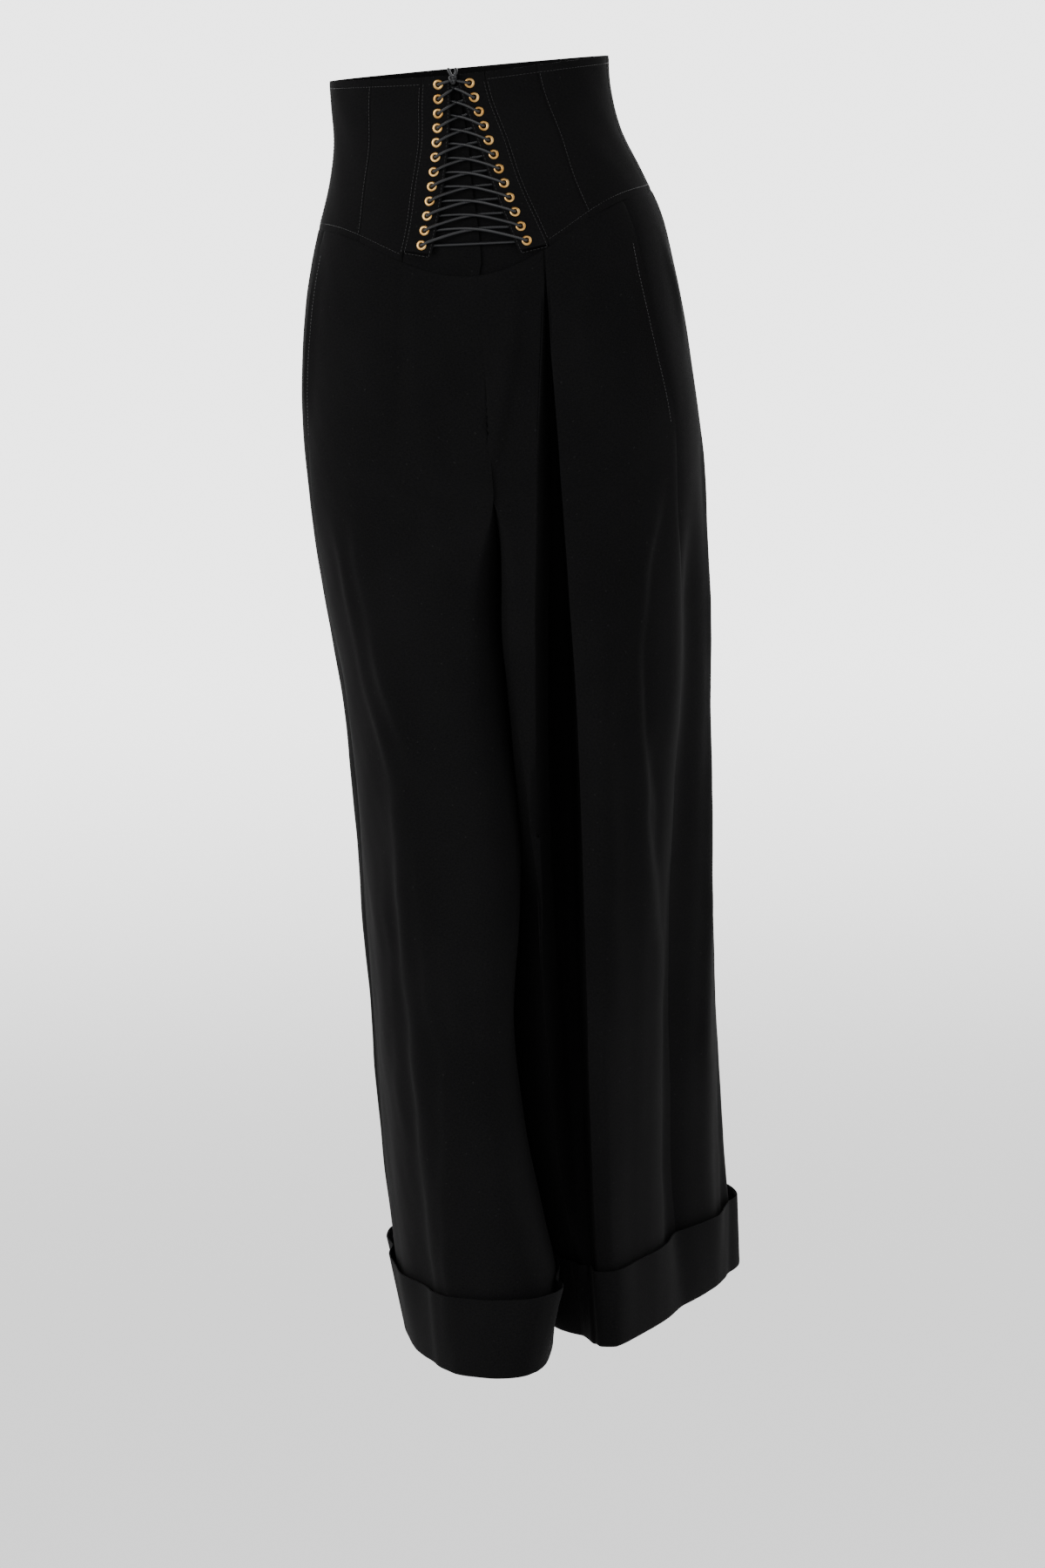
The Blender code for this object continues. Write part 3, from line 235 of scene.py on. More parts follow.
# Rows and columns of the leg panels
LEG_ROWS = [-0.165 - 0.0066 * k for k in range(139)]
EDGE_COLUMNS = 14
EDGE_WIDTH = 0.00115
FRONT_COLUMNS = 76
INNER_COLUMNS = 18
OUTER_COLUMNS = 56
BACK_COLUMNS = 76

# Vertical seams of the waistband, as widths from the centre front at its top and its bottom
BandSeam = namedtuple("BandSeam", "top bottom bow")
STRIP_SEAM = BandSeam(0.0265, 0.0640, -0.004)
PRINCESS_SEAM = BandSeam(0.0710, 0.1060, -0.003)
SIDE_SEAM_ANGLE = 84.0
BACK_SPLIT_ANGLE = 180.0
SEAM_ANGLE_GAP = -0.10
BAND_LOW_Z = -0.130
BAND_HIGH_Z = 0.020

# Edges that turn by more than this many degrees are sharp, and points nearer than this are one
SHARP_ANGLE = 55.0
MERGE = 0.00002

# Cloth walls of the dressed pieces: how far they stand outside and reach inside their solids
CLOTH_PROUD = 0.00015
CLOTH_DEEP = 0.0012
BAND_DEEP = 0.0014
SEAM_DIP = (0.0009, 0.0004, 0.0001)
TOP_SHARES = [0.012, 0.03, 0.07, 0.14, 0.24, 0.36, 0.5, 0.64, 0.78, 0.9]
TOP_GRID = [-0.055 - 0.0025 * k for k in range(46)]
EYELET_THROAT_R = 0.00165
EYELET_RISE = 0.00115
CUFF_STEPS = (0.0, 0.03, 0.10, 0.22, 0.36, 0.5, 0.64, 0.78, 0.90, 1.0)
POCKET_REACH = 0.020

# Topstitching: how far its lines lie from the seams and edges
YOKE_STITCH = 0.0058
TOP_STITCH = 0.0062
SEAM_STITCH = 0.0016
FLAP_STITCH = 0.0017
POCKET_STITCH = 0.0060

# Floor, room wall, lamps as (place, size), and a camera turned aside, down and over in degrees
FLOOR_TURNS = 72
FLOOR_BEND = 3.0
FLOOR_GLOW = 3.4
# Painted shadow: the floor glows darker near the middle, under the pants
PAINTED_SHADOW_GREY = (0.42, 0.42, 0.42)
# Painted shade: the front half of the room glows dimmer than the back, so the bright back lights the
# pants' edges
PAINTED_FRONT_SHADE_GREY = (0.40, 0.40, 0.40)
WALL_R = 9.0
WALL_TOP = 12.0
LAMPS = {
    "key": ((-2.3, -2.5, 1.0), 2.0),
    "fill": ((1.3, -3.6, 0.3), 2.0),
    "front": ((-1.1, -3.2, 0.7), 0.5),
}
LAMP_AIM = (0.0, 0.0, -0.5)
CAMERA_TURNS = (6.0, 9.5, 3.0)
CAMERA_PLACE = (0.45651, -4.21647, 0.10344)
CAMERA_LENS = 111.258

# Creases of the worn cloth, in millimetres: height, width to either side and points (z, across)
Crease = namedtuple("Crease", "leg facing height before after line")
CREASES = [
    Crease(
        leg, facing, height / 1e3, before / 1e3, after / 1e3,
        sorted((z / 1e3, across / 1e3) for z, across in line),
    )
    for leg, facing, height, before, after, *line in (
        ("right", "front", 4, 7, 14, (-330, -116), (-377, -108), (-504, -82), (-600, -50)),
        ("right", "front", 2.6, 5, 8, (-330, -134), (-370, -128), (-491, -105), (-610, -75)),
        ("right", "front", 3, 6, 11,
         (-570, -84), (-688, -77), (-811, -75), (-936, -66), (-1200, -60)),
        ("right", "front", 3.4, 6, 12,
         (-600, -66), (-750, -56), (-812, -47), (-937, -48), (-1200, -44)),
        ("right", "front", 2.4, 7, 10, (-680, -46), (-744, -40), (-850, -20)),
        ("right", "front", 3.6, 7, 11,
         (-560, -124), (-734, -110), (-885, -109), (-980, -102), (-1200, -90)),
        ("right", "front", 1.8, 5, 7, (-620, -96), (-760, -94), (-960, -86)),
        ("right", "front", -1.6, 5, 7, (-100, -58), (-155, -58), (-285, -65)),
        ("right", "front", 1.8, 12, 16, (-270, -30), (-420, -36), (-560, -20)),
        ("right", "front", -2.2, 12, 12, (-350, -6), (-250, -30), (-190, -70)),
        ("right", "outer", 2.6, 10, 14, (-330, -20), (-620, 0), (-1000, 12)),
        ("right", "outer", -2.4, 10, 14, (-500, 40), (-800, 48), (-1200, 55)),
        ("right", "back", 3, 10, 18, (-340, -75), (-520, -66), (-800, -50), (-1050, -52)),
        ("right", "back", 2.4, 12, 16, (-480, -10), (-700, -22), (-1200, -30)),
        ("right", "back", -2.4, 11, 15, (-190, -95), (-270, -50), (-345, -8)),
        ("right", "back", 2.2, 8, 10, (-760, -92), (-1200, -85)),
        ("left", "front", -4.4, 8, 22, (-140, 62), (-267, 34), (-343, 14), (-400, 8)),
        ("left", "front", 11, 14, 16, (-335, 23), (-420, 20), (-500, 22), (-600, 26), (-700, 30)),
        ("left", "front", 2.4, 10, 12, (-150, 46), (-240, 33), (-330, 10)),
        ("left", "front", -5, 5, 36,
         (-320, 163), (-367, 155), (-442, 144), (-517, 137), (-680, 139)),
        ("left", "front", -11, 7, 34,
         (-540, 143), (-670, 143), (-747, 144), (-863, 139), (-1050, 134)),
        ("left", "front", 1.2, 8, 12, (-700, 164), (-891, 162), (-1030, 158)),
        ("left", "front", 1.8, 12, 14, (-300, 112), (-560, 100), (-840, 104), (-1200, 98)),
        ("left", "front", 1.6, 6, 10, (-100, 108), (-190, 100), (-300, 104)),
        ("left", "outer", 2.4, 8, 13, (-100, -30), (-170, -24), (-240, -20)),
        ("left", "outer", 2.6, 9, 13, (-270, 10), (-520, 22), (-900, 40)),
        ("left", "outer", -2.4, 10, 12, (-480, 66), (-800, 90), (-1200, 110)),
        ("left", "back", 3, 12, 18, (-340, 90), (-560, 82), (-820, 74), (-1050, 80)),
        ("left", "back", -2.4, 11, 15, (-190, 105), (-270, 56), (-345, 10)),
        ("left", "back", 2.4, 10, 14, (-450, 36), (-760, 44), (-1200, 48)),
        ("left", "back", 2, 8, 12, (-700, 128), (-1200, 132)),
    )
]
CREASE_FADE = 0.070

CURVES = {}
ROWS = {}


def column(table, name, z):
    """One column of a table at any level, on a smooth curve through its rows."""
    key = (id(table), name)
    if key not in CURVES:
        levels = np.array([row.z for row in table])[::-1]
        values = np.array([getattr(row, name) for row in table])[::-1]
        slopes = np.gradient(values, levels)
        fine = np.linspace(levels[0], levels[-1], 2400)
        index = np.clip(np.searchsorted(levels, fine, side="right") - 1, 0, len(levels) - 2)
        step = levels[index + 1] - levels[index]
        t = (fine - levels[index]) / step
        start = (1.0 + 2.0 * t) * (1.0 - t) ** 2 * values[index]
        end = t * t * (3.0 - 2.0 * t) * values[index + 1]
        lean = t * (1.0 - t) * step * ((1.0 - t) * slopes[index] - t * slopes[index + 1])
        CURVES[key] = (fine, start + end + lean)
    return np.interp(z, *CURVES[key])


def levels_of(leg):
    """The table of one leg."""
    return RIGHT_LEVELS if leg == "right" else LEFT_LEVELS


def level_at(leg, z):
    """The values of one leg's table at any level, by name."""
    rows = levels_of(leg)
    return {name: float(column(rows, name, z)) for name in Level._fields if name != "z"}


def ways_of(leg, nx, ny):
    """How much each point of a row faces each way."""
    return {"front": -ny, "back": ny, "outer": outward(leg) * nx, "inner": -outward(leg) * nx}


def crease_height(leg, x, y, z, nx, ny):
    """How far the creases and the unevenness of the cloth move one row of points."""
    ways = ways_of(leg, nx, ny)
    height = 0.00045 * np.sin(38.0 * x + 11.0 * z + 1.0) * np.sin(23.0 * y - 17.0 * z + 2.0)
    height += 0.00030 * np.sin(92.0 * x - 21.0 * z) * np.sin(61.0 * y + 31.0 * z + 0.7)
    height += 0.00012 * np.sin(210.0 * x + 60.0 * z) * np.sin(170.0 * y - 75.0 * z)
    for index, crease in enumerate(CREASES):
        (low, _), (high, _) = crease.line[0], crease.line[-1]
        if crease.leg != leg or not low < z < high:
            continue
        centre = np.interp(z, *zip(*crease.line))
        centre += 0.0016 * math.sin(z * 31.0 + index) + 0.0009 * math.sin(z * 83.0 + index * 2.0)
        apart = (y if crease.facing == "outer" else x) - centre
        width = np.where(apart < 0.0, crease.before, crease.after)
        reach = min(CREASE_FADE, (high - low) / 2.2)
        fade = float(smoothstep(0.0, reach, high - z)) * float(smoothstep(0.0, reach, z - low))
        uneven = 0.82 + 0.18 * math.sin(z * 47.0 + index * 1.7)
        bump = np.exp(-((apart / width) ** 2))
        height += crease.height * bump * fade * uneven * smoothstep(0.15, 0.70, ways[crease.facing])
    return height


def spread(first, last, steps):
    """Evenly spaced values from first to last."""
    return [first + (last - first) * k / steps for k in range(steps + 1)]


def smoothstep(low, high, value):
    """0 below low, 1 above high and a smooth rise between them."""
    t = np.clip((np.asarray(value, dtype=float) - low) / (high - low), 0.0, 1.0)
    return t * t * (3.0 - 2.0 * t)


def outward(leg):
    """The sign of X on one side of the garment."""
    return -1.0 if leg == "right" else 1.0


def rise_depth(z, top):
    """Share of the body's depth at the crotch seam: 1 at its top and 0 at the crotch."""
    t = np.clip((top - z) / (top - CROTCH_Z), 0.0, 1.0)
    return np.sqrt(1.0 - t * t)


def outline(leg, z, points=200):
    """One leg's outline at a level, from its inner front round the outside to its inner back."""
    at = level_at(leg, z)
    inner_x = at["x_in"] + outward(leg) * SEAM_GAP / 2
    front_x = at["x_front"] if z < CROTCH_Z else inner_x
    back_x = at["x_back"] if z < CROTCH_Z else inner_x
    front_start = at["y_in"] + (at["y_front"] - at["y_in"]) * rise_depth(z, FRONT_RISE_Z)
    back_end = at["y_in"] + (at["y_back"] - at["y_in"]) * rise_depth(z, BACK_RISE_Z)
    turn = np.linspace(0.0, math.pi / 2, points)
    near, far = np.cos(turn), np.sin(turn)
    near[-1] = 0.0
    arcs = (
        (near, far, front_x, inner_x, front_start, at["y_front"], at["round_in"]),
        (far, near, front_x, at["x_out"], at["y_out"], at["y_front"], at["round_out"]),
        (near, far, back_x, at["x_out"], at["y_out"], at["y_back"], at["round_back"]),
        (far, near, back_x, inner_x, back_end, at["y_back"], at["round_back"]),
    )
    xs = np.concatenate([x0 + (x1 - x0) * a ** (2.0 / n) for a, _, x0, x1, _, _, n in arcs])
    ys = np.concatenate([y0 + (y1 - y0) * b ** (2.0 / n) for _, b, _, _, y0, y1, n in arcs])
    cut = 4 * points - 1
    if z < CROTCH_Z:
        inseam = float(column(SEAMS, "y_inseam_" + leg, z))
        cut = 3 * points + int(np.argmin(np.abs(ys[3 * points:] - inseam)))
    front_start = 4 * points - 1 - cut
    xs = np.concatenate([xs[cut:-1], xs[:cut + 1]]) if front_start else xs
    ys = np.concatenate([ys[cut:-1], ys[:cut + 1]]) if front_start else ys
    return xs, ys, front_start


def along(xs, ys):
    """Lengths along a line of points."""
    return np.concatenate([[0.0], np.cumsum(np.hypot(np.diff(xs), np.diff(ys)))])


def crossing(lengths, values, target, start, stop):
    """The length at which a value is first reached between two indices of a line."""
    piece = values[start:stop] - target
    change = np.nonzero(piece[:-1] * piece[1:] <= 0.0)[0]
    if len(change) == 0:
        return lengths[stop - 1] if abs(piece[-1]) < abs(piece[0]) else lengths[start]
    i = start + int(change[0])
    span = values[i + 1] - values[i]
    share = 0.0 if abs(span) < 1e-12 else (target - values[i]) / span
    return lengths[i] + share * (lengths[i + 1] - lengths[i])


def fold_height(leg, x, y, z, nx, ny):
    """How far the large folds push one row of points out of the smooth outline."""
    ways = ways_of(leg, nx, ny)
    height = np.zeros_like(x)
    for fold in FOLDS:
        if fold.leg != leg:
            continue
        across = y if fold.facing in ("outer", "inner") else x
        share = np.clip((fold.z_top - z) / (fold.z_top - fold.z_bottom), 0.0, 1.0)
        centre = fold.at_top + (fold.at_bottom - fold.at_top) * share
        fade = smoothstep(0.0, FOLD_FADE, fold.z_top - z) * smoothstep(0.0, 0.03, z - fold.z_bottom)
        bump = np.exp(-(((across - centre) / fold.half_width) ** 2) * 2.0)
        height += fold.height * bump * fade * smoothstep(0.15, 0.75, ways[fold.facing])
    return height


def normals_of(x, y, leg, loop=False):
    """Outward normals of an open or a closed row of points, level with the floor."""
    tx, ty = (np.roll(v, -1) - np.roll(v, 1) if loop else np.gradient(v) for v in (x, y))
    size = np.maximum(np.hypot(tx, ty), 1e-9)
    return outward(leg) * ty / size, -outward(leg) * tx / size


def edge_over(edge, leg, x, y, z):
    """Height of the yoke seam or the top edge over a point of the body."""
    rows = levels_of(leg)
    middle = column(rows, "x_in", z)
    half = np.abs(column(rows, "x_out", z) - middle)
    share = np.clip(np.abs(x - middle) / half, 0.0, 1.0)
    dip = np.where(y < 0.0, edge.dip_front, edge.dip_back) * np.cos(share * math.pi / 2) ** 2
    return edge.side_z + edge.tilt * (x - middle) - dip


def pleat_profile(share):
    """Depth across the open pleat, from 0 at its folded edges to 1 at its bottom."""
    return 1.0 - np.abs(2.0 * share - 1.0) ** 3


def row_points(leg, panel, z):
    """The smooth row of one leg panel at a level, from its inner edge or its side seam."""
    xs, ys, front_start = outline(leg, z)
    lengths = along(xs, ys)
    seam_y = float(column(SEAMS, "y_" + leg, z))
    quarter = len(xs) // 4
    seam = crossing(lengths, ys, seam_y, front_start + quarter, front_start + 3 * quarter)

    def normal_amid(*around):
        nx, ny = normals_of(np.interp(around, lengths, xs), np.interp(around, lengths, ys), leg)
        return nx[1], ny[1]

    sewn, inner = (-1, 0) if panel == "front" else (0, -1)
    ends = {sewn: normal_amid(seam - SEAM_REACH, seam, seam + SEAM_REACH)}
    if z < CROTCH_Z:
        ends[inner] = normal_amid(lengths[-1] - SEAM_REACH, lengths[-1], SEAM_REACH)
    if panel == "back":
        start = front_start + 2 * quarter
        corner = lengths[start + int(np.argmax(ys[start:] - outward(leg) * xs[start:]))]
        corner = min(corner, lengths[-1] - EDGE_COLUMNS * EDGE_WIDTH)
        stops = np.concatenate([
            np.linspace(seam + SEAM_GAP / 2, corner, BACK_COLUMNS),
            np.linspace(corner, lengths[-1] - SEAM_GAP / 2, EDGE_COLUMNS + 1)[1:],
        ])
        return np.interp(stops, lengths, xs), np.interp(stops, lengths, ys), ends
    seam -= SEAM_GAP / 2
    front = slice(0, front_start + 2 * quarter)
    corner = lengths[int(np.argmax(-outward(leg) * xs[front] - ys[front]))]
    corner = max(corner, EDGE_COLUMNS * EDGE_WIDTH)
    inner_stops = np.linspace(SEAM_GAP / 2, corner, EDGE_COLUMNS + 1)
    if leg == "right":
        stops = np.concatenate([inner_stops, np.linspace(corner, seam, FRONT_COLUMNS)[1:]])
        return np.interp(stops, lengths, xs), np.interp(stops, lengths, ys), ends
    inner_x = float(column(OPEN_PLEAT, "x_inner", z))
    outer_x = float(column(OPEN_PLEAT, "x_outer", z))
    reach = (front_start + 2, front_start + 2 * quarter)
    first = crossing(lengths, xs, inner_x, *reach)
    last = crossing(lengths, xs, outer_x, *reach)
    stops = np.concatenate([
        inner_stops[:-1],
        np.linspace(corner, first, INNER_COLUMNS)[:-1],
        first + (last - first) * PLEAT_COLUMNS,
        np.linspace(last, seam, OUTER_COLUMNS)[1:],
    ])
    x, y = np.interp(stops, lengths, xs), np.interp(stops, lengths, ys)
    inner_y = float(column(OPEN_PLEAT, "y_inner_side", z))
    front_y = float(column(LEFT_LEVELS, "y_front", z))
    inner_side_y = float(column(LEFT_LEVELS, "y_in", z))
    reach = np.clip((y - inner_side_y) / (front_y - inner_side_y), 0.0, 1.0)
    blend = 1.0 - smoothstep(inner_x, outer_x, x)
    if z < FRONT_RISE_Z:
        y = y + (inner_y - front_y) * blend * reach
    start = EDGE_COLUMNS + INNER_COLUMNS - 1
    inside = slice(start, start + len(PLEAT_COLUMNS))
    x[inside] = inner_x + (outer_x - inner_x) * PLEAT_COLUMNS
    depth = float(column(OPEN_PLEAT, "y_bottom", z))
    y[inside] += np.maximum(depth - y[inside], 0.0) * pleat_profile(PLEAT_COLUMNS)
    return x, y, ends


def panel_row(leg, panel, z):
    """One row of a leg panel: its outer points, with folds, and its normals."""
    x, y, ends = row_points(leg, panel, z)
    nx, ny = normals_of(x, y, leg)
    for end, normal in ends.items():
        nx[end], ny[end] = normal
    height = fold_height(leg, x, y, z, nx, ny) + crease_height(leg, x, y, z, nx, ny)
    if z >= CROTCH_Z:
        height[0 if panel == "front" else -1] = 0.0
    if panel == "front":
        mouth = float(smoothstep(POCKET_BOTTOM_Z, POCKET_BOTTOM_Z + 0.06, z))
        mouth *= 1.0 - float(smoothstep(POCKET_TOP_Z - 0.05, POCKET_TOP_Z, z))
        lengths = along(x, y)
        near = np.clip(1.0 - (lengths[-1] - lengths) / POCKET_REACH, 0.0, 1.0) ** 1.5
        x = x + mouth * near * (POCKET_GAPE * nx[-1] - outward(leg) * POCKET_SLIP * abs(ny[-1]))
        y = y + mouth * near * (POCKET_GAPE * ny[-1] - POCKET_SLIP * abs(nx[-1]))
    return x + height * nx, y + height * ny, nx, ny


def cuff_stand(leg, x, y, nx):
    """How far the top of a cuff stands out: close between the legs and wide at its free corners."""
    close = float(smoothstep(0.25, 0.85, -outward(leg) * nx))
    stand = CUFF_STAND_TOP + (CUFF_STAND_CLOSE - CUFF_STAND_TOP) * close
    if leg == "right":
        corner = float(smoothstep(-0.01, 0.03, x)) * float(smoothstep(0.15, 0.175, -y))
        return stand + CUFF_CORNER_RIGHT * corner
    valley = math.exp(-(((x - CUFF_VALLEY_X) / 0.008) ** 2)) * float(y < 0.0)
    corner = CUFF_CORNER_LEFT * float(smoothstep(0.10, 0.17, x))
    return stand + corner + CUFF_VALLEY * valley


def side_of(x, z):
    """The side of the centre front that a width lies on."""
    return "right" if x < float(column(RIGHT_LEVELS, "x_in", z)) else "left"


def band_point(angle, z, depth=0.0):
    """A point of the waistband by its angle from the centre front, in degrees, and its height."""
    leg = "right" if angle < 0.0 else "left"
    at = level_at(leg, z)
    turn = math.radians(abs(angle))

    def spot(turn):
        sine, cosine = math.sin(turn), math.cos(turn)
        front = cosine >= 0.0
        power = 2.0 / (at["round_out"] if front else at["round_back"])
        reach = at["y_front"] if front else at["y_back"]
        x = at["x_in"] + (at["x_out"] - at["x_in"]) * max(sine, 0.0) ** power
        return x, reach * abs(cosine) ** power

    x, y = spot(turn)
    small = 0.01
    ahead, behind = spot(min(turn + small, math.pi)), spot(max(turn - small, 0.0))
    tx, ty = ahead[0] - behind[0], ahead[1] - behind[1]
    size = math.hypot(tx, ty)
    sign = outward(leg)
    nx, ny = sign * ty / size, -sign * tx / size
    if abs(angle) < 0.5:
        nx, ny = 0.0, -1.0
    return Vector((x - nx * depth, y - ny * depth, z)), Vector((nx, ny, 0.0))


def angle_at(x, z):
    """The angle from the centre front of a width on the front of the waistband."""
    leg = side_of(x, z)
    table = levels_of(leg)
    middle = float(column(table, "x_in", z))
    half = abs(float(column(table, "x_out", z)) - middle)
    power = float(column(table, "round_out", z)) / 2.0
    share = min(abs(x - middle) / half, 1.0)
    return outward(leg) * math.degrees(math.asin(share**power))


def edge_z(edge, angle):
    """Height of the yoke seam or the top edge at an angle."""
    if edge not in CURVES:
        angles = np.linspace(-180.0, 180.0, 721)
        heights = []
        for turn in angles:
            z = edge.first_z
            for _ in range(6):
                point, _ = band_point(turn, z)
                z = float(edge_over(edge, "right" if turn < 0.0 else "left", point.x, point.y, z))
            heights.append(z)
        CURVES[edge] = (angles, heights)
    return float(np.interp(angle, *CURVES[edge]))


def seam_x(seam, leg, z):
    """Width of a vertical seam of the waistband at a height."""
    share = min(max((z - BAND_LOW_Z) / (BAND_HIGH_Z - BAND_LOW_Z), 0.0), 1.0)
    width = seam.bottom + (seam.top - seam.bottom) * share + 4.0 * seam.bow * share * (1.0 - share)
    return float(column(RIGHT_LEVELS, "x_in", z)) + outward(leg) * width


def band_level(angle, share):
    """Height on the waistband at an angle, as a share from the yoke seam to the top edge."""
    low = edge_z(YOKE, angle) + YOKE_GAP / 2
    return low + (edge_z(TOP, angle) - low) * share


def seam_angle(seam, leg, share, nudge):
    """Angle of a vertical seam at a share of the waistband's height, moved aside by a nudge."""
    z = BAND_LOW_Z + (BAND_HIGH_Z - BAND_LOW_Z) * share
    for _ in range(6):
        angle = angle_at(seam_x(seam, leg, z) + outward(leg) * nudge, z)
        z = band_level(angle, share)
    return angle


def eyelet_line(leg, z):
    """Width of the row of eyelets at any height."""
    share = (EYELET_TOP_Z - z) / (EYELET_PITCH * (EYELETS - 1))
    line = EYELET_LINES[leg]
    return line.top + line.lean * share + line.bend * share * share


def eyelet_place(leg, index):
    """Width and height of an eyelet, counted from the top."""
    z = EYELET_TOP_Z - EYELET_PITCH * index
    return eyelet_line(leg, z), z


def flap_edge(leg, z):
    """Width of the free inner edge of a lacing flap."""
    return eyelet_line(leg, z) - outward(leg) * FLAP_OVERHANG


def strip_seam_x(leg, z):
    """Width of the sewn side of a lacing flap."""
    return seam_x(STRIP_SEAM, leg, z) - outward(leg) * SEAM_GAP / 2


def front_point(x, z, depth=0.0):
    """A point of the waistband's front by its width and height."""
    return band_point(angle_at(x, z), z, depth)[0]


def front_frame(x, z):
    """The centre, side, up and outward directions of the sloping front at a point."""
    step = 0.0015
    side = (front_point(x + step, z) - front_point(x - step, z)).normalized()
    rise = (front_point(x, z + step) - front_point(x, z - step)).normalized()
    normal = side.cross(rise).normalized()
    return front_point(x, z), side, normal.cross(side), normal


def strip_point(leg, u, z, depth):
    """A point of a lacing flap: u is 0 at its free edge and 1 at its seam."""
    free, sewn = flap_edge(leg, z), strip_seam_x(leg, z)
    return front_point(free + (sewn - free) * u, z, depth)


def underlay_depth(leg, x, z):
    """How deep the underlay lies: close under the seam and clear of the lace by the eyelets."""
    seam = strip_seam_x(leg, z)
    eyelets = eyelet_line(leg, z) + outward(leg) * EYELET_OUTER_R * 0.7
    share = smoothstep(0.0, 1.0, (x - seam) / (eyelets - seam))
    close = BAND_WALL + LINING_GAP
    return close + (UNDERLAY_DEPTH - close) * float(share)


def lace_through(leg, index, come_from, go_to):
    """Points of the lace as it comes up through an eyelet from behind: (x, z, lift)."""
    x, z = eyelet_place(leg, index)
    here = Vector((x, z))
    arrive = (here - Vector(come_from)).normalized()
    leave = (Vector(go_to) - here).normalized()
    route = []
    turns = (
        (arrive, -0.0015, LACE_UNDER),
        (arrive, -0.0001, LACE_UNDER + 0.0014),
        (leave, 0.0001, LACE_OVER - 0.0012),
        (leave, 0.0015, LACE_OVER),
    )
    for way, far, lift in turns:
        spot = here + way * far
        route.append((spot.x, spot.y, lift))
    return route


def lace_across(start_leg, start_index, end_leg, end_index, over):
    """Points of the lace across the opening, from over one flap's edge to under the other's."""
    x0, z0 = eyelet_place(start_leg, start_index)
    x1, z1 = eyelet_place(end_leg, end_index)
    first = abs(flap_edge(start_leg, z0) - x0) / abs(x1 - x0)
    last = 1.0 - abs(flap_edge(end_leg, z1) - x1) / abs(x1 - x0)
    lifts = [
        (first - 0.02, LACE_R + 0.0012),
        (first + (last - first) * 0.28, 0.0004 + 0.4 * over * CROSS_LIFT),
        (first + (last - first) * 0.50, -0.0010 + over * CROSS_LIFT),
        (first + (last - first) * 0.72, -0.0023 + 0.4 * over * CROSS_LIFT),
        (last + 0.02, LACE_UNDER),
    ]
    bow = 0.065 * abs(x1 - x0)
    route = []
    for share, lift in lifts:
        arch = bow * math.sin(math.pi * share)
        route.append((x0 + (x1 - x0) * share, z0 + (z1 - z0) * share + arch, lift))
    return route


def lace_side(first_leg, over_first):
    """One half of the lace, from its lowest eyelet zigzag up to its top eyelet."""
    other = {"right": "left", "left": "right"}
    legs = [first_leg if i % 2 == 0 else other[first_leg] for i in range(EYELETS)]
    stops = list(zip(legs, range(EYELETS - 1, -1, -1)))
    knot = (float(column(RIGHT_LEVELS, "x_in", KNOT_Z)), KNOT_Z)
    route = []
    for k, (leg, index) in enumerate(stops):
        come = eyelet_place(other[leg], index if k == 0 else index + 1)
        go = eyelet_place(other[leg], index - 1) if index > 0 else knot
        route += lace_through(leg, index, come, go)
        if index > 0:
            over = over_first if index % 2 else -over_first
            route += lace_across(leg, index, other[leg], index - 1, over)
    return route


def drop_close(points, least=0.0009):
    """Leave out points that lie closer than a least distance to the one before."""
    kept = [points[0]]
    for point in points[1:]:
        if (point - kept[-1]).length >= least:
            kept.append(point)
    return kept


# ==== Meshes ====


def link(item):
    """Put an object in the scene."""
    bpy.context.scene.collection.objects.link(item)
    return item


def mesh_object(name, verts, faces, uvs, material):
    """A smooth mesh object from points, faces and one UV for each point."""
    mesh = bpy.data.meshes.new(name)
    mesh.from_pydata([tuple(v) for v in verts], [], faces)
    layer = mesh.uv_layers.new(name="UVMap")
    corners = np.empty(len(mesh.loops), dtype=np.int32)
    mesh.loops.foreach_get("vertex_index", corners)
    layer.data.foreach_set("uv", np.asarray(uvs, dtype=np.float32)[corners].ravel())
    smoothed(mesh)
    mesh.materials.append(material)
    mesh.validate()
    return link(bpy.data.objects.new(name, mesh))


def smoothed(mesh):
    """Shade a mesh smooth, with sharp edges where it turns."""
    mesh.shade_smooth()
    mesh.set_sharp_from_angle(angle=math.radians(SHARP_ANGLE))


def outward_faces(item, merge=0.0):
    """Turn the faces of a closed mesh outwards, after points nearer than merge are made one."""
    shell = bmesh.new()
    shell.from_mesh(item.data)
    if merge:
        bmesh.ops.remove_doubles(shell, verts=shell.verts, dist=merge)
    bmesh.ops.recalc_face_normals(shell, faces=shell.faces)
    shell.to_mesh(item.data)
    shell.free()
    return item


def cloth_wall(name, outer, inner, uv_rows, material):
    """A thin closed cloth shell between two grids of points."""
    rows, columns = len(outer), len(outer[0])
    verts = [p for row in outer for p in row] + [p for row in inner for p in row]
    uvs = [uv for row in uv_rows for uv in row] * 2
    back = rows * columns
    faces = []
    for i in range(rows - 1):
        for j in range(columns - 1):
            a = i * columns + j
            quad = (a, a + 1, a + columns + 1, a + columns)
            faces.append(quad)
            faces.append(tuple(back + k for k in reversed(quad)))
    rim = [j for j in range(columns)]
    rim += [i * columns + columns - 1 for i in range(1, rows)]
    rim += [(rows - 1) * columns + j for j in range(columns - 2, -1, -1)]
    rim += [i * columns for i in range(rows - 2, 0, -1)]
    for a, b in zip(rim, rim[1:] + rim[:1]):
        faces.append((a, back + a, back + b, b))
    return outward_faces(mesh_object(name, verts, faces, uvs, material))


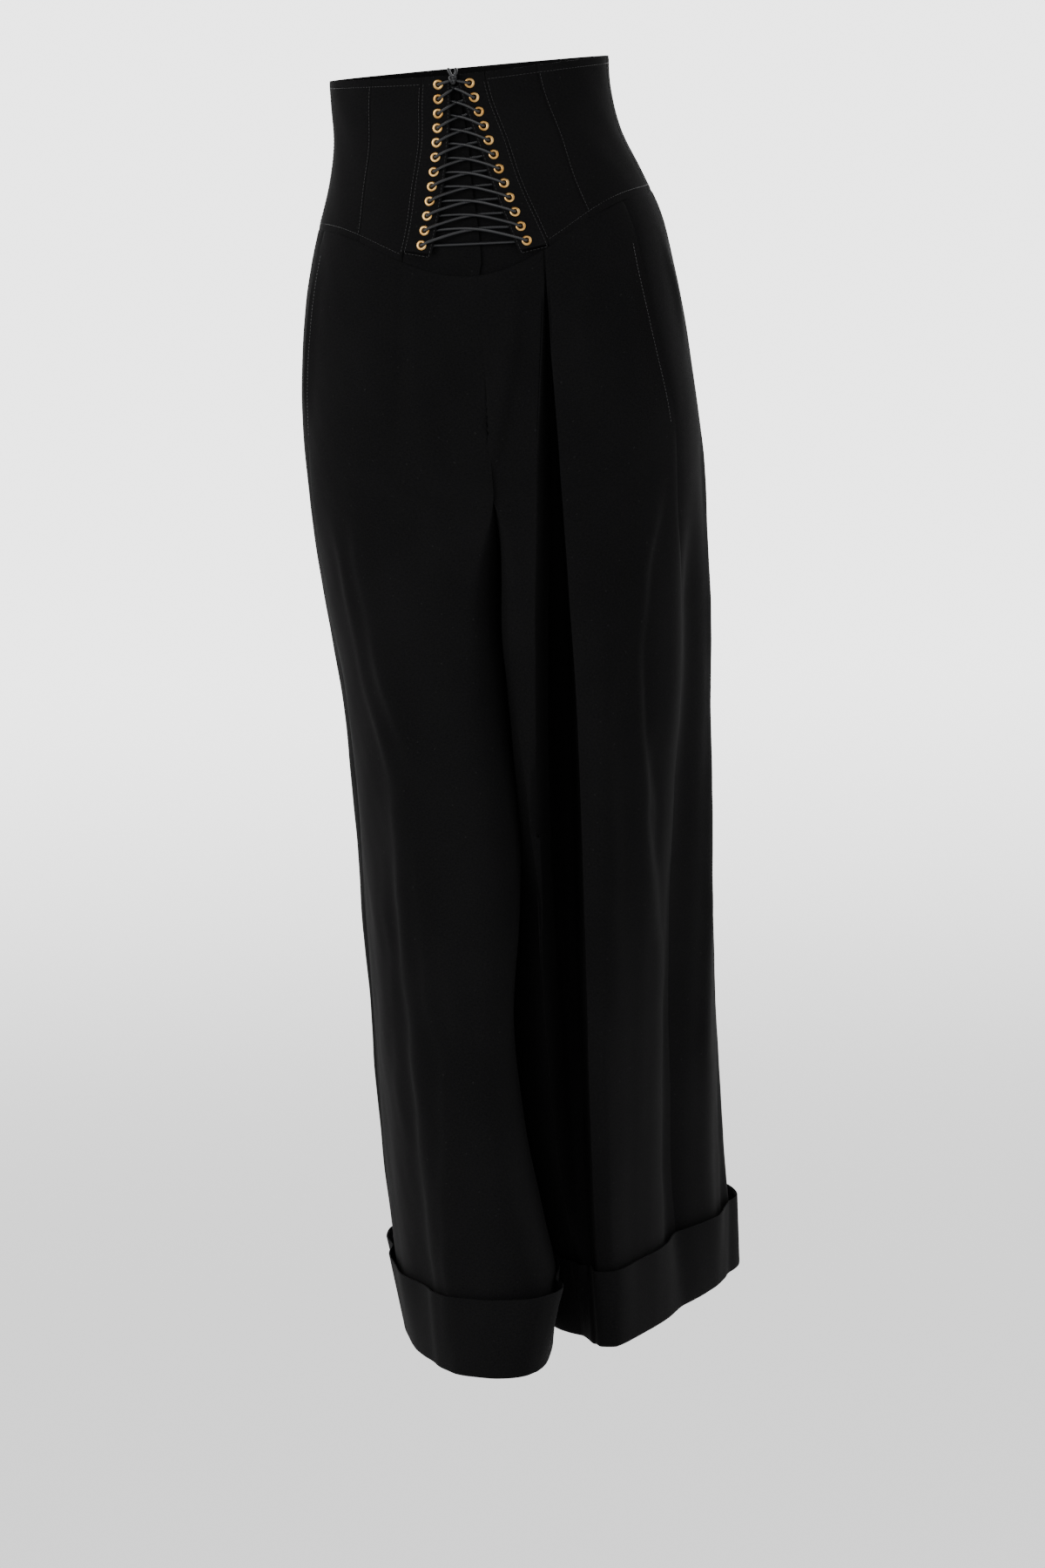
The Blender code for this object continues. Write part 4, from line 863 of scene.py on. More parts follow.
def swept_ring(name, profiles, uv_profiles, material, closed=True):
    """A closed ring or tube through profiles that each hold the same number of points."""
    count = len(profiles[0])
    verts = [p for profile in profiles for p in profile]
    uvs = [uv for profile in uv_profiles for uv in profile]
    faces = []
    spans = len(profiles) if closed else len(profiles) - 1
    for i in range(spans):
        j = (i + 1) % len(profiles)
        for k in range(count):
            m = (k + 1) % count
            faces.append((i * count + k, i * count + m, j * count + m, j * count + k))
    if not closed:
        faces.append(tuple(range(count)))
        faces.append(tuple(range((len(profiles) - 1) * count, len(profiles) * count)))
    return outward_faces(mesh_object(name, verts, faces, uvs, material))


def row_lengths(row):
    """Distances along a row of points."""
    steps = [(Vector(b) - Vector(a)).length for a, b in zip(row, row[1:])]
    return np.concatenate([[0.0], np.cumsum(steps)])


def finished(piece, slot_name, *nodes):
    """Attach a piece to the root body and hide the solids it stands for; its slot name is not used."""
    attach(piece, "root")
    if nodes:
        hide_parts(*nodes)
    return piece


# ==== Materials ====


def new_node(tree, kind, settings=(), **values):
    """A node: its settings first, then its inputs by name with _ for a space, or by number."""
    made = tree.nodes.new(kind)
    for key, value in dict(settings).items():
        setattr(made, key, value)
    for key, value in values.items():
        target = made.inputs[int(key[1:]) if key[1:].isdigit() else key.replace("_", " ")]
        if isinstance(value, bpy.types.NodeSocket):
            tree.links.new(value, target)
        else:
            target.default_value = value
    return made


class Wire:
    """A node's output socket that adds Math nodes when it is used in an expression."""

    def __init__(self, tree, socket):
        self.tree = tree
        self.socket = socket

    def node(self, kind, settings=(), **values):
        """Another node in the same tree."""
        plain = {key: getattr(value, "socket", value) for key, value in values.items()}
        return new_node(self.tree, kind, settings, **plain)

    def out(self, made, name=0):
        """One output of a node as a Wire."""
        return Wire(self.tree, made.outputs[name])

    def maths(self, operation, other):
        """A Math node on this value and another."""
        return self.out(self.node("ShaderNodeMath", {"operation": operation}, _0=self, _1=other))

    def __add__(self, other):
        return self.maths("ADD", other)

    __radd__ = __add__

    def __mul__(self, other):
        return self.maths("MULTIPLY", other)

    def step(self, low, high):
        """A smooth rise from 0 at low to 1 at high."""
        made = self.node(
            "ShaderNodeMapRange", {"interpolation_type": "SMOOTHSTEP"}, Value=self,
            From_Min=low, From_Max=high, To_Min=0.0, To_Max=1.0,
        )
        return self.out(made)

    def blend(self, first, second):
        """Mix two colours by this value."""
        first, second = (v if isinstance(v, Wire) else (*v, 1.0) for v in (first, second))
        made = self.node("ShaderNodeMix", {"data_type": "RGBA"}, _0=self, _6=first, _7=second)
        return self.out(made, 2)


def new_material(name):
    """A material, its shader node and its UV and object coordinates as Wires."""
    material = bpy.data.materials.new(name)
    material.use_nodes = True
    tree = material.node_tree
    shader = tree.nodes["Principled BSDF"]
    spots = tree.nodes.new("ShaderNodeTexCoord").outputs
    return material, shader, Wire(tree, spots["UV"]), Wire(tree, spots["Object"])


def noise(spot, scale, detail=2.0, roughness=0.5, stretch=(1.0, 1.0, 1.0)):
    """A noise value over the surface."""
    placed = spot.node("ShaderNodeMapping", Vector=spot, Scale=stretch)
    made = spot.node(
        "ShaderNodeTexNoise", {"noise_dimensions": "3D"}, Vector=spot.out(placed), Scale=scale,
        Detail=detail, Roughness=roughness,
    )
    return spot.out(made, "Fac")


def stripes(spot, scale, direction="X", distortion=0.0):
    """Fine parallel lines over the surface."""
    settings = {"wave_type": "BANDS", "bands_direction": direction, "wave_profile": "SIN"}
    made = spot.node("ShaderNodeTexWave", settings, Vector=spot, Scale=scale, Distortion=distortion)
    return spot.out(made, "Fac")


def finish_shader(spot, shader, colour, roughness, height, strength, distance):
    """Link a colour, a roughness and a bump into the shader."""
    tree = spot.tree
    tree.links.new(colour.socket, shader.inputs["Base Color"])
    tree.links.new(roughness.socket, shader.inputs["Roughness"])
    bump = spot.node("ShaderNodeBump", Strength=strength, Distance=distance, Height=height)
    tree.links.new(bump.outputs[0], shader.inputs["Normal"])


def crepe_material(name, cloth, sheen_share=1.0):
    """Black crepe: a pebbled weave with lint, slow shade changes and a soft nap."""
    material, shader, uv, _ = new_material(name)
    weft = noise(uv, 1500.0, 1.0, 0.5, (1.0, 0.30, 1.0))
    warp = noise(uv, 1300.0, 1.0, 0.5, (0.30, 1.0, 1.0))
    grain = noise(uv, 520.0, 3.0, 0.6)
    shade = noise(uv, 9.0, 3.0, 0.55)
    lint = noise(uv, 330.0, 0.0).step(0.80, 0.86)
    weave = weft * 0.5 + warp * 0.5
    tone = weave * 0.45 + grain * 0.30 + shade * 0.25
    colour = tone.step(0.25, 0.75).blend(cloth.dark, cloth.light)
    colour = (lint * 0.5).blend(colour, (0.011, 0.011, 0.011))
    roughness = 0.76 + grain * 0.16 + shade * 0.06
    finish_shader(uv, shader, colour, roughness, weave + grain * 0.8, cloth.pebble, 0.00035)
    shader.inputs["Sheen Weight"].default_value = cloth.sheen * sheen_share
    shader.inputs["Sheen Roughness"].default_value = 0.45
    shader.inputs["Specular IOR Level"].default_value = 0.022
    return material


def satin_material(colour):
    """Satin cord: fine threads wound round the cord and a narrow shine."""
    material, shader, uv, _ = new_material("satin_cord")
    threads = stripes(uv, 420.0, "DIAGONAL", 0.4)
    worn = noise(uv, 160.0, 2.0)
    tone = (threads * 0.6 + worn * 0.4).step(0.2, 0.8)
    light = tuple(c * 2.4 for c in colour)
    finish_shader(uv, shader, tone.blend(colour, light), 0.20 + worn * 0.26, threads, 0.8, 0.00022)
    shader.inputs["Specular IOR Level"].default_value = 0.40
    return material


def brass_material(colour):
    """Polished gold-coloured brass with faint scuffs."""
    material, shader, _, spot = new_material("polished_brass")
    scuff = noise(spot, 900.0, 3.0, 0.6, (1.0, 1.0, 0.3))
    stain = noise(spot, 140.0, 2.0)
    deep = tuple(c * shade for c, shade in zip(colour, (0.62, 0.50, 0.36)))
    tone = stain.step(0.3, 0.7).blend(deep, colour)
    finish_shader(spot, shader, tone, 0.12 + scuff * 0.16, scuff, 0.08, 0.0001)
    shader.inputs["Metallic"].default_value = 1.0
    return material


def thread_material(colour):
    """Sewing thread with its twist."""
    material, shader, _, spot = new_material("black_thread")
    twist = stripes(spot, 900.0, "DIAGONAL")
    light = tuple(c * 1.7 for c in colour)
    finish_shader(spot, shader, twist.blend(colour, light), 0.42 + twist * 0.1, twist, 0.2, 0.0001)
    return material


# ==== Copies along a line, by Geometry Nodes ====


def copies_tree():
    """A tree that sets a copy of one object on each point, turned to its way and out vectors."""
    tree = bpy.data.node_groups.new("copies_on_points", "GeometryNodeTree")
    for name, kind, default in (
        ("Points", "NodeSocketGeometry", None),
        ("Copy", "NodeSocketObject", None),
        ("Finish", "NodeSocketMaterial", None),
        ("Unevenness", "NodeSocketFloat", 0.0),
        ("Seed", "NodeSocketInt", 1),
    ):
        socket = tree.interface.new_socket(name, in_out="INPUT", socket_type=kind)
        if default is not None:
            socket.default_value = default
    tree.interface.new_socket("Geometry", in_out="OUTPUT", socket_type="NodeSocketGeometry")

    def add(kind, settings=(), **values):
        return new_node(tree, kind, settings, **values)

    start = add("NodeGroupInput")
    way = add("GeometryNodeInputNamedAttribute", {"data_type": "FLOAT_VECTOR"}, Name="way")
    out = add("GeometryNodeInputNamedAttribute", {"data_type": "FLOAT_VECTOR"}, Name="out")
    turned = add("FunctionNodeAlignRotationToVector", {"axis": "X"}, Vector=way.outputs[0])
    upright = add(
        "FunctionNodeAlignRotationToVector", {"axis": "Z", "pivot_axis": "X"},
        Rotation=turned.outputs[0], Vector=out.outputs[0],
    )
    source = add(
        "GeometryNodeObjectInfo", {"transform_space": "ORIGINAL"}, Object=start.outputs["Copy"],
        As_Instance=True,
    )
    least = add("ShaderNodeMath", {"operation": "SUBTRACT"}, _0=1.0, _1=start.outputs["Unevenness"])
    most = add("ShaderNodeMath", {"operation": "ADD"}, _0=1.0, _1=start.outputs["Unevenness"])
    size = add(
        "FunctionNodeRandomValue", {"data_type": "FLOAT"}, _2=least.outputs[0], _3=most.outputs[0],
        Seed=start.outputs["Seed"],
    )
    copies = add(
        "GeometryNodeInstanceOnPoints", Points=start.outputs["Points"], Scale=size.outputs[1],
        Instance=source.outputs["Geometry"], Rotation=upright.outputs[0],
    )
    real = add("GeometryNodeRealizeInstances", Geometry=copies.outputs[0])
    painted = add(
        "GeometryNodeSetMaterial", Geometry=real.outputs[0], Material=start.outputs["Finish"],
    )
    add("NodeGroupOutput", Geometry=painted.outputs[0])
    return tree


def copies_on(name, places, source, material, unevenness, seed):
    """A plain mesh of copies of one object, one at each (point, way, out)."""
    tree = bpy.data.node_groups.get("copies_on_points") or copies_tree()
    mesh = bpy.data.meshes.new(name + "_points")
    mesh.from_pydata([tuple(p) for p, _, _ in places], [], [])
    for title, index in (("way", 1), ("out", 2)):
        layer = mesh.attributes.new(title, "FLOAT_VECTOR", "POINT")
        layer.data.foreach_set("vector", np.array([tuple(p[index]) for p in places]).ravel())
    carrier = link(bpy.data.objects.new(name + "_points", mesh))
    modifier = carrier.modifiers.new("copies", "NODES")
    modifier.node_group = tree
    values = {"Copy": source, "Finish": material, "Unevenness": unevenness, "Seed": seed}
    for item in tree.interface.items_tree:
        if item.item_type == "SOCKET" and item.in_out == "INPUT" and item.name in values:
            modifier[item.identifier] = values[item.name]
    bpy.context.view_layer.update()
    graph = bpy.context.evaluated_depsgraph_get()
    plain = bpy.data.meshes.new_from_object(carrier.evaluated_get(graph))
    plain.name = name
    plain.materials.clear()
    plain.materials.append(material)
    plain.shade_smooth()
    bpy.data.objects.remove(carrier, do_unlink=True)
    return link(bpy.data.objects.new(name, plain))


def stitch_source(length, radius):
    """One stitch: a short thread that dips into the cloth at both ends."""
    rings = []
    for k in range(6):
        t = k / 5.0
        rise = math.sin(math.pi * t) ** 0.6
        centre = Vector(((t - 0.5) * length, 0.0, radius * (1.7 * rise - 0.9)))
        wide = radius * (0.55 + 0.45 * rise)
        rings.append([
            centre + Vector((0.0, wide * math.cos(a), wide * math.sin(a)))
            for a in (math.tau * m / 6 for m in range(6))
        ])
    uvs = [[(0.0, 0.0)] * 6 for _ in rings]
    return swept_ring("stitch_source", rings, uvs, bpy.data.materials["black_thread"], closed=False)


def stitches_along(name, lines, pitch, stitch, seed):
    """Stitches at an even pitch along lines of (point, normal)."""
    places = []
    for line in lines:
        points = [Vector(p) for p, _ in line]
        lengths = row_lengths(points)
        count = max(int(lengths[-1] / pitch), 1)
        flat = np.array([tuple(p) for p in points])
        outs = np.array([tuple(n) for _, n in line])
        for k in range(count):
            at = (k + 0.5) * lengths[-1] / count
            ends = [
                Vector([np.interp(at + side, lengths, flat[:, i]) for i in range(3)])
                for side in (-0.001, 0.001)
            ]
            out = Vector([np.interp(at, lengths, outs[:, i]) for i in range(3)])
            way = (ends[1] - ends[0]).normalized()
            places.append(((ends[0] + ends[1]) / 2, way, out.normalized()))
    return copies_on(name, places, stitch, bpy.data.materials["black_thread"], 0.05, seed)


# ==== Legs, cuffs and waistband ====


def fine_rows(leg, panel, last_z):
    """All rows of a leg panel as (x, y, z, nx, ny), fine enough for its creases."""
    grid = np.array([panel_row(leg, panel, z) for z in reversed(TOP_GRID)])
    levels = TOP_GRID[::-1]
    count = grid.shape[2]

    def at(i, z):
        return [float(np.interp(z, levels, grid[:, part, i])) for part in range(4)]

    tops = []
    for i in range(count):
        z = YOKE.side_z - YOKE.dip_front / 2
        for _ in range(8):
            x, y = at(i, z)[:2]
            z = float(edge_over(YOKE, leg, x, y, z)) - YOKE_GAP / 2
        tops.append(z)
    rows = []
    for share in [0.0] + TOP_SHARES:
        row = []
        for i, top in enumerate(tops):
            z = top + (LEG_ROWS[0] - top) * share
            x, y, nx, ny = at(i, z)
            row.append((x, y, z, nx, ny))
        rows.append(row)
    for level in [z for z in LEG_ROWS if z > last_z + 0.002] + [last_z]:
        x, y, nx, ny = panel_row(leg, panel, level)
        rows.append([(x[i], y[i], level, nx[i], ny[i]) for i in range(len(x))])
    return rows


def shifted(rows, depth, dips=None):
    """Rows moved inwards along their normals, and further in beside their seams."""
    moved = []
    for i, row in enumerate(rows):
        line = []
        for j, (x, y, z, nx, ny) in enumerate(row):
            near = min(j, len(row) - 1 - j)
            deep = depth
            if dips is not None and near < len(SEAM_DIP):
                deep += SEAM_DIP[near] * dips(z, j < len(row) / 2)
            if dips is not None and i < len(SEAM_DIP):
                deep += SEAM_DIP[i] * 0.8
            line.append(Vector((x - nx * deep, y - ny * deep, z)))
        moved.append(line)
    return moved


def panel_uv(outer):
    """UVs in metres: along each row from its middle, and down the panel."""
    uvs = []
    for row in outer:
        lengths = row_lengths(row)
        middle = lengths[-1] / 2
        uvs.append([(length - middle, point[2]) for length, point in zip(lengths, row)])
    return uvs


def sheet_piece(node, slot_name, outer, inner, material):
    """A cloth shell that stands for a solid, with the cut of what shows."""
    piece = cloth_wall(f"{node}_cloth", outer, inner, panel_uv(outer), material)
    finished(piece, slot_name, node)


def leg_piece(leg, panel, material):
    """One cloth leg panel over its solid."""
    rows = fine_rows(leg, panel, HEM_Z + CUFF_LIP + SEAM_GAP)

    def dips(z, first):
        if panel == "front" and not first and POCKET_BOTTOM_Z < z < POCKET_TOP_Z:
            return 0.0
        return 0.25 if panel == "front" and first else 1.0

    outer, inner = shifted(rows, -CLOTH_PROUD, dips), shifted(rows, CLOTH_DEEP)
    sheet_piece(f"leg_{panel}_{leg}", "black_crepe", outer, inner, material)
    return rows


def cuff_piece(leg, material):
    """The turned-up cuff with a soft fold at the hem and a turned top edge."""
    rows = {}
    for level in (CUFF_TOP_Z, HEM_Z):
        front = panel_row(leg, "front", level)
        back = panel_row(leg, "back", level)
        joined = [np.concatenate([a, b[1:-1]]) for a, b in zip(front, back)]
        rows[level] = (*joined[:2], *normals_of(*joined[:2], leg, loop=True))
    top, hem = rows[CUFF_TOP_Z], rows[HEM_Z]
    lengths = row_lengths([(a, b, 0.0) for a, b in zip(hem[0], hem[1])])
    profiles, uvs = [], []
    for i in range(len(top[0])):
        stand = cuff_stand(leg, top[0][i], top[1][i], top[2][i])
        wave = 0.0006 * math.sin(lengths[i] * 41.0) + 0.0005 * math.sin(lengths[i] * 97.0 + 1.0)

        def place(row, out, z, i=i):
            return Vector((row[0][i] + row[2][i] * out, row[1][i] + row[3][i] * out, z))

        upper = place(top, stand + wave, CUFF_TOP_Z)
        lower = place(hem, CUFF_STAND_HEM, HEM_Z + 0.004)
        upper_in = place(top, stand + wave - CUFF_WALL, CUFF_TOP_Z)
        lower_in = place(hem, CUFF_STAND_HEM - CUFF_WALL, HEM_Z + CUFF_LIP)
        face = [upper.lerp(lower, t) for t in CUFF_STEPS]
        fold = [
            place(hem, CUFF_STAND_HEM - 0.0002, HEM_Z + 0.0018),
            place(hem, CUFF_STAND_HEM - 0.0008, HEM_Z + 0.0004),
            place(hem, CUFF_STAND_HEM - 0.0016, HEM_Z),
            place(hem, -CLOTH, HEM_Z),
            place(hem, -CLOTH, HEM_Z + CUFF_LIP),
        ]
        inside = [lower_in.lerp(upper_in, t) for t in (0.0, 0.5, 0.97)]
        rim = upper.lerp(upper_in, 0.5) + Vector((0.0, 0.0, 0.0003))
        profile = face + fold + inside + [rim]
        profiles.append(profile)
        uvs.append([(lengths[i], point.z) for point in profile])
    piece = swept_ring(f"cuff_{leg}_cloth", profiles, uvs, material)
    finished(piece, "black_crepe", f"cuff_{leg}")
    around = lengths[-1] + math.hypot(hem[0][0] - hem[0][-1], hem[1][0] - hem[1][-1])


def band_rows(leg, ends, columns, rows):
    """Angles and heights of a waistband piece between two seams, with more columns beside them."""
    shares = [0.0, 0.012, 0.03, 0.06] + [0.06 + 0.88 * j / columns for j in range(1, columns)]
    shares += [0.94, 0.97, 0.988, 1.0]
    grid = []
    for i in range(rows + 1):
        share = i / rows
        first, last = (
            outward(leg) * end if isinstance(end, float) else seam_angle(end[0], leg, share, end[1])
            for end in ends
        )
        angles = [first + (last - first) * across for across in shares]
        grid.append([(angle, band_level(angle, share)) for angle in angles])
    return grid


def strain(angle, z):
    """Slight pulls that run across the stiff waistband."""
    along_band = 0.00045 * math.sin(angle * 0.21 + z * 55.0) * math.sin(z * 38.0 + angle * 0.05)
    return along_band * float(smoothstep(0.0, 0.02, z - YOKE.side_z + 0.02))


def band_piece(name, leg, ends, columns, material, rows=36):
    """One piece of the waistband, rolled in a little at its seams."""
    outer, inner = [], []
    grid = band_rows(leg, ends, columns, rows)
    for i, line in enumerate(grid):
        outer.append([])
        inner.append([])
        for j, (angle, z) in enumerate(line):
            near = min(j, len(line) - 1 - j)
            dip = SEAM_DIP[near] if near < len(SEAM_DIP) else 0.0
            dip += 0.0006 if i == 0 else 0.0
            dip += 0.0004 if i == rows else 0.0
            pull = strain(angle, z) * math.sin(math.pi * j / (len(line) - 1))
            outer[-1].append(band_point(angle, z, dip - CLOTH_PROUD - pull)[0])
            inner[-1].append(band_point(angle, z, BAND_DEEP)[0])
    sheet_piece(f"band_{name}_{leg}", "black_band_crepe", outer, inner, material)


def joined_loops(first, second):
    """Faces between two closed loops of points."""
    turned = list(zip(first, second))
    return [(a, c, d, b) for (a, b), (c, d) in zip(turned, turned[1:] + turned[:1])]


def flap_piece(leg, material):
    """A lacing flap with a round hole at each eyelet."""
    verts, faces = [], []
    for index in range(EYELETS):
        hole_x, hole_z = eyelet_place(leg, index)
        high, low = hole_z + EYELET_PITCH / 2, hole_z - EYELET_PITCH / 2
        corners = [(1.0, low), (1.0, high), (0.0, high), (0.0, low)]
        border = []
        for (u0, z0), (u1, z1) in zip(corners, corners[1:] + corners[:1]):
            border += list(zip(spread(u0, u1, FLAP_STEPS), spread(z0, z1, FLAP_STEPS)))[:-1]
        centre, side, rise, normal = front_frame(hole_x, hole_z)
        sides = []
        for depth in (-CLOTH_PROUD, BAND_DEEP):
            loops = [[], [], [], []]
            middle = centre - normal * depth * math.hypot(normal.x, normal.y)
            for u, z in border:
                if index == 0 and z > hole_z:
                    free, sewn = flap_edge(leg, hole_z), strip_seam_x(leg, hole_z)
                    brim = edge_z(TOP, angle_at(free + (sewn - free) * u, hole_z)) - 0.0001
                    z = hole_z + (z - hole_z) * (brim - hole_z) / (EYELET_PITCH / 2)
                if index == EYELETS - 1 and z < hole_z:
                    foot = FLAP_BOTTOM_Z + 0.004 * u
                    z = hole_z + (z - hole_z) * (hole_z - foot) / (EYELET_PITCH / 2)
                edge = strip_point(leg, u, z, depth)
                aim = edge - middle
                spoke = Vector((aim.dot(side), aim.dot(rise))).normalized()
                rim = middle + (side * spoke.x + rise * spoke.y) * STRIP_HOLE_R
                for loop, share in zip(loops, (0.0, 0.35, 0.7, 1.0)):
                    loop.append(len(verts))
                    verts.append(edge.lerp(rim, share))
            for first, second in zip(loops, loops[1:]):
                faces += joined_loops(first, second)
            sides.append(loops)
        (front_edge, *_, front_rim), (back_edge, *_, back_rim) = sides
        faces += joined_loops(front_rim, back_rim)
        shared = ({1} if index > 0 else set()) | ({3} if index < EYELETS - 1 else set())
        for k, face in enumerate(joined_loops(front_edge, back_edge)):
            if k // FLAP_STEPS not in shared:
                faces.append(face)
    uvs = [(point.x, point.z) for point in verts]
    piece = mesh_object(f"lacing_flap_{leg}_cloth", verts, faces, uvs, material)
    outward_faces(piece, merge=MERGE)
    smoothed(piece.data)
    finished(piece, "black_band_crepe", f"lacing_flap_{leg}")
    middle = EYELET_TOP_Z - EYELET_PITCH * (EYELETS - 1) / 2
    width = abs(strip_seam_x(leg, middle) - flap_edge(leg, middle))


def underlay_piece(leg, material):
    """A panel behind the lacing, with a pulled ripple or two."""
    rows, columns = UNDERLAY_GRID
    under = 0.0 if leg == "right" else CLOTH + LINING_GAP
    outer, inner = [], []
    for i in range(rows + 1):
        share = i / rows
        outer.append([])
        inner.append([])
        for j in range(columns + 1):
            across = j / columns
            z = -0.13 + 0.15 * share
            for _ in range(4):
                middle = float(column(RIGHT_LEVELS, "x_in", z))
                edge = middle + FLY_EDGE - FLY_HOOK * (1.0 - float(smoothstep(0.03, 0.09, share)))
                if leg == "left":
                    edge = middle - UNDERLAP + FLY_EDGE
                sewn = strip_seam_x(leg, z) + outward(leg) * 0.0015
                x = edge + (sewn - edge) * across
                angle = angle_at(x, z)
                low = edge_z(YOKE, angle) - UNDERLAY_REACH
                z = low + (edge_z(TOP, angle) - 0.0004 - low) * share
            depth = UNDERLAY_DEPTH
            if side_of(x, z) == leg:
                depth = underlay_depth(leg, x, z)
            ripple = 0.0004 * math.sin(z * 190.0 + x * 60.0) * math.sin(math.pi * across)
            sewn_in = float(smoothstep(0.0, 0.009, z - edge_z(YOKE, angle)))
            depth = CLOTH + (depth - CLOTH) * (0.08 + 0.92 * sewn_in)
            outer[-1].append(front_point(x, z, depth + under - CLOTH_PROUD / 2 - ripple * 0.5))
            inner[-1].append(front_point(x, z, depth + under + CLOTH * 0.7))
    sheet_piece(f"underlay_{leg}", "black_band_crepe", outer, inner, material)


# ==== Eyelets and lacing ====


def eyelet_source(material):
    """One rolled eyelet, its axis along Z."""
    sides = 44
    depth = -BAND_WALL - 0.00035
    lip = (EYELET_OUTER_R + EYELET_THROAT_R) / 2
    wide = (EYELET_OUTER_R - EYELET_THROAT_R) / 2
    profile = [(EYELET_THROAT_R, depth), (EYELET_THROAT_R, -0.0007)]
    for k in range(11):
        turn = math.pi * k / 10
        profile.append((lip - wide * math.cos(turn), 0.00015 + EYELET_RISE * math.sin(turn) ** 0.9))
    profile += [
        (EYELET_BARREL_R, 0.00015), (EYELET_BARREL_R, depth + 0.0003),
        (EYELET_BARREL_R + 0.0007, depth),
    ]
    profiles, uvs = [], []
    for k in range(sides):
        turn = math.tau * k / sides
        profiles.append([Vector((math.cos(turn) * r, math.sin(turn) * r, h)) for r, h in profile])
        uvs.append([(k / sides, m / len(profile)) for m in range(len(profile))])
    return swept_ring("eyelet_source", profiles, uvs, material)


def lace_points():
    """The lace's route from one tied end to the other, as points."""
    ending = []
    for leg, over in (("left", 1.0), ("right", -1.0)):
        route = lace_side(leg, over)
        last_leg = "right" if leg == "left" else "left"
        x = float(column(RIGHT_LEVELS, "x_in", KNOT_Z)) + outward(last_leg) * 0.0030
        route.append((x, KNOT_Z - 0.001, 0.0030))
        ending.append(route)
    (left_x, low_z), (right_x, _) = (eyelet_place(leg, EYELETS - 1) for leg in ("left", "right"))
    bar = [(left_x + (right_x - left_x) * k / 8, low_z, LACE_UNDER) for k in range(1, 8)]
    route = list(reversed(ending[0])) + bar + ending[1]
    points = []
    for x, z, lift in route:
        point, _, _, normal = front_frame(x, z)
        points.append(point + normal * lift)
    return drop_close(points)


def smooth_path(points, per_span):
    """A rounded path through points, four points at a time."""
    path = []
    spots = [points[0]] + list(points) + [points[-1]]
    for a, b, c, d in zip(spots, spots[1:], spots[2:], spots[3:]):
        for k in range(per_span):
            t = k / per_span
            path.append(
                0.5 * ((2 * b) + (c - a) * t + (2 * a - 5 * b + 4 * c - d) * t * t
                       + (3 * b - a - 3 * c + d) * t * t * t)
            )
    path.append(points[-1])
    return path


def tube(name, path, radius, material, sides=12):
    """A round cord along a path, with its length in metres along V."""
    lengths = row_lengths(path)
    out = Vector((0.0, -1.0, 0.0))
    profiles, uvs = [], []
    for i, point in enumerate(path):
        way = (path[min(i + 1, len(path) - 1)] - path[max(i - 1, 0)]).normalized()
        side = way.cross(out)
        side = side.normalized() if side.length > 1e-5 else Vector((1.0, 0.0, 0.0))
        out = side.cross(way).normalized()
        taper = 0.7 if i in (0, len(path) - 1) else 1.0
        turns = [math.tau * k / sides for k in range(sides)]
        profiles.append([
            point + (side * math.cos(a) + out * math.sin(a)) * radius * taper for a in turns
        ])
        uvs.append([(radius * a, lengths[i]) for a in turns])
    return swept_ring(name, profiles, uvs, material, closed=False)


def knot_path(centre, normal):
    """A small overhand knot whose two ends stand up beside it."""

    def spot(x, z, out):
        return centre + Vector((x, 0.0, z)) + normal * out

    points = [spot(-0.0036, 0.0098, 0.0016), spot(-0.0026, 0.0064, 0.0030)]
    for t in spread(0.25, 0.25 + math.tau * 0.93, 24):
        x = (math.sin(t) + 2.0 * math.sin(2.0 * t)) * 0.00088
        z = (math.cos(t) - 2.0 * math.cos(2.0 * t)) * 0.00104
        points.append(spot(x, z, 0.0034 - math.sin(3.0 * t) * 0.00105))
    return points + [spot(0.0032, 0.0060, 0.0034), spot(0.0024, 0.0096, 0.0018)]


# ==== Stitched lines ====


def band_line(leg, rule, first, last, steps):
    """A sewn line on the waistband as (point, normal), with its height from a rule of the angle."""
    angles = spread(outward(leg) * first, outward(leg) * last, steps)
    return [band_point(angle, rule(angle), -CLOTH_PROUD) for angle in angles]


def upright_line(rule):
    """A sewn line beside an upright seam, with its angle from a rule of its share of the height."""
    places = [(rule(share), share) for share in spread(0.05, 0.95, 30)]
    return [band_point(angle, band_level(angle, share), -CLOTH_PROUD) for angle, share in places]


def flap_line(leg, u0, z0, u1, z1, steps):
    """A sewn line on a lacing flap."""
    line = []
    for u, z in zip(spread(u0, u1, steps), spread(z0, z1, steps)):
        point = strip_point(leg, u, z, -CLOTH_PROUD)
        line.append((point, band_point(angle_at(point.x, z), z)[1]))
    return line


def pocket_line(rows):
    """The sewn line beside a pocket mouth."""
    line = []
    for row in rows:
        z = row[-1][2]
        if not POCKET_BOTTOM_Z + 0.006 < z < POCKET_TOP_Z - 0.004:
            continue
        xs, ys, _, *across = np.array(row).T
        lengths = along(xs, ys)
        at = lengths[-1] - POCKET_STITCH
        x, y, nx, ny = (float(np.interp(at, lengths, values)) for values in (xs, ys, *across))
        point = Vector((x + nx * CLOTH_PROUD, y + ny * CLOTH_PROUD, z))
        line.append((point, Vector((nx, ny, 0.0))))
    return line


# ==== Settings and operators ====


COLOUR = {"size": 3, "subtype": "COLOR", "min": 0.0, "max": 1.0}
LENGTH = {"subtype": "DISTANCE", "unit": "LENGTH"}
POWER = {"min": 0.0, "max": 1000.0, "unit": "POWER"}
SHARE = {"min": 0.0, "max": 1.0, "subtype": "FACTOR"}


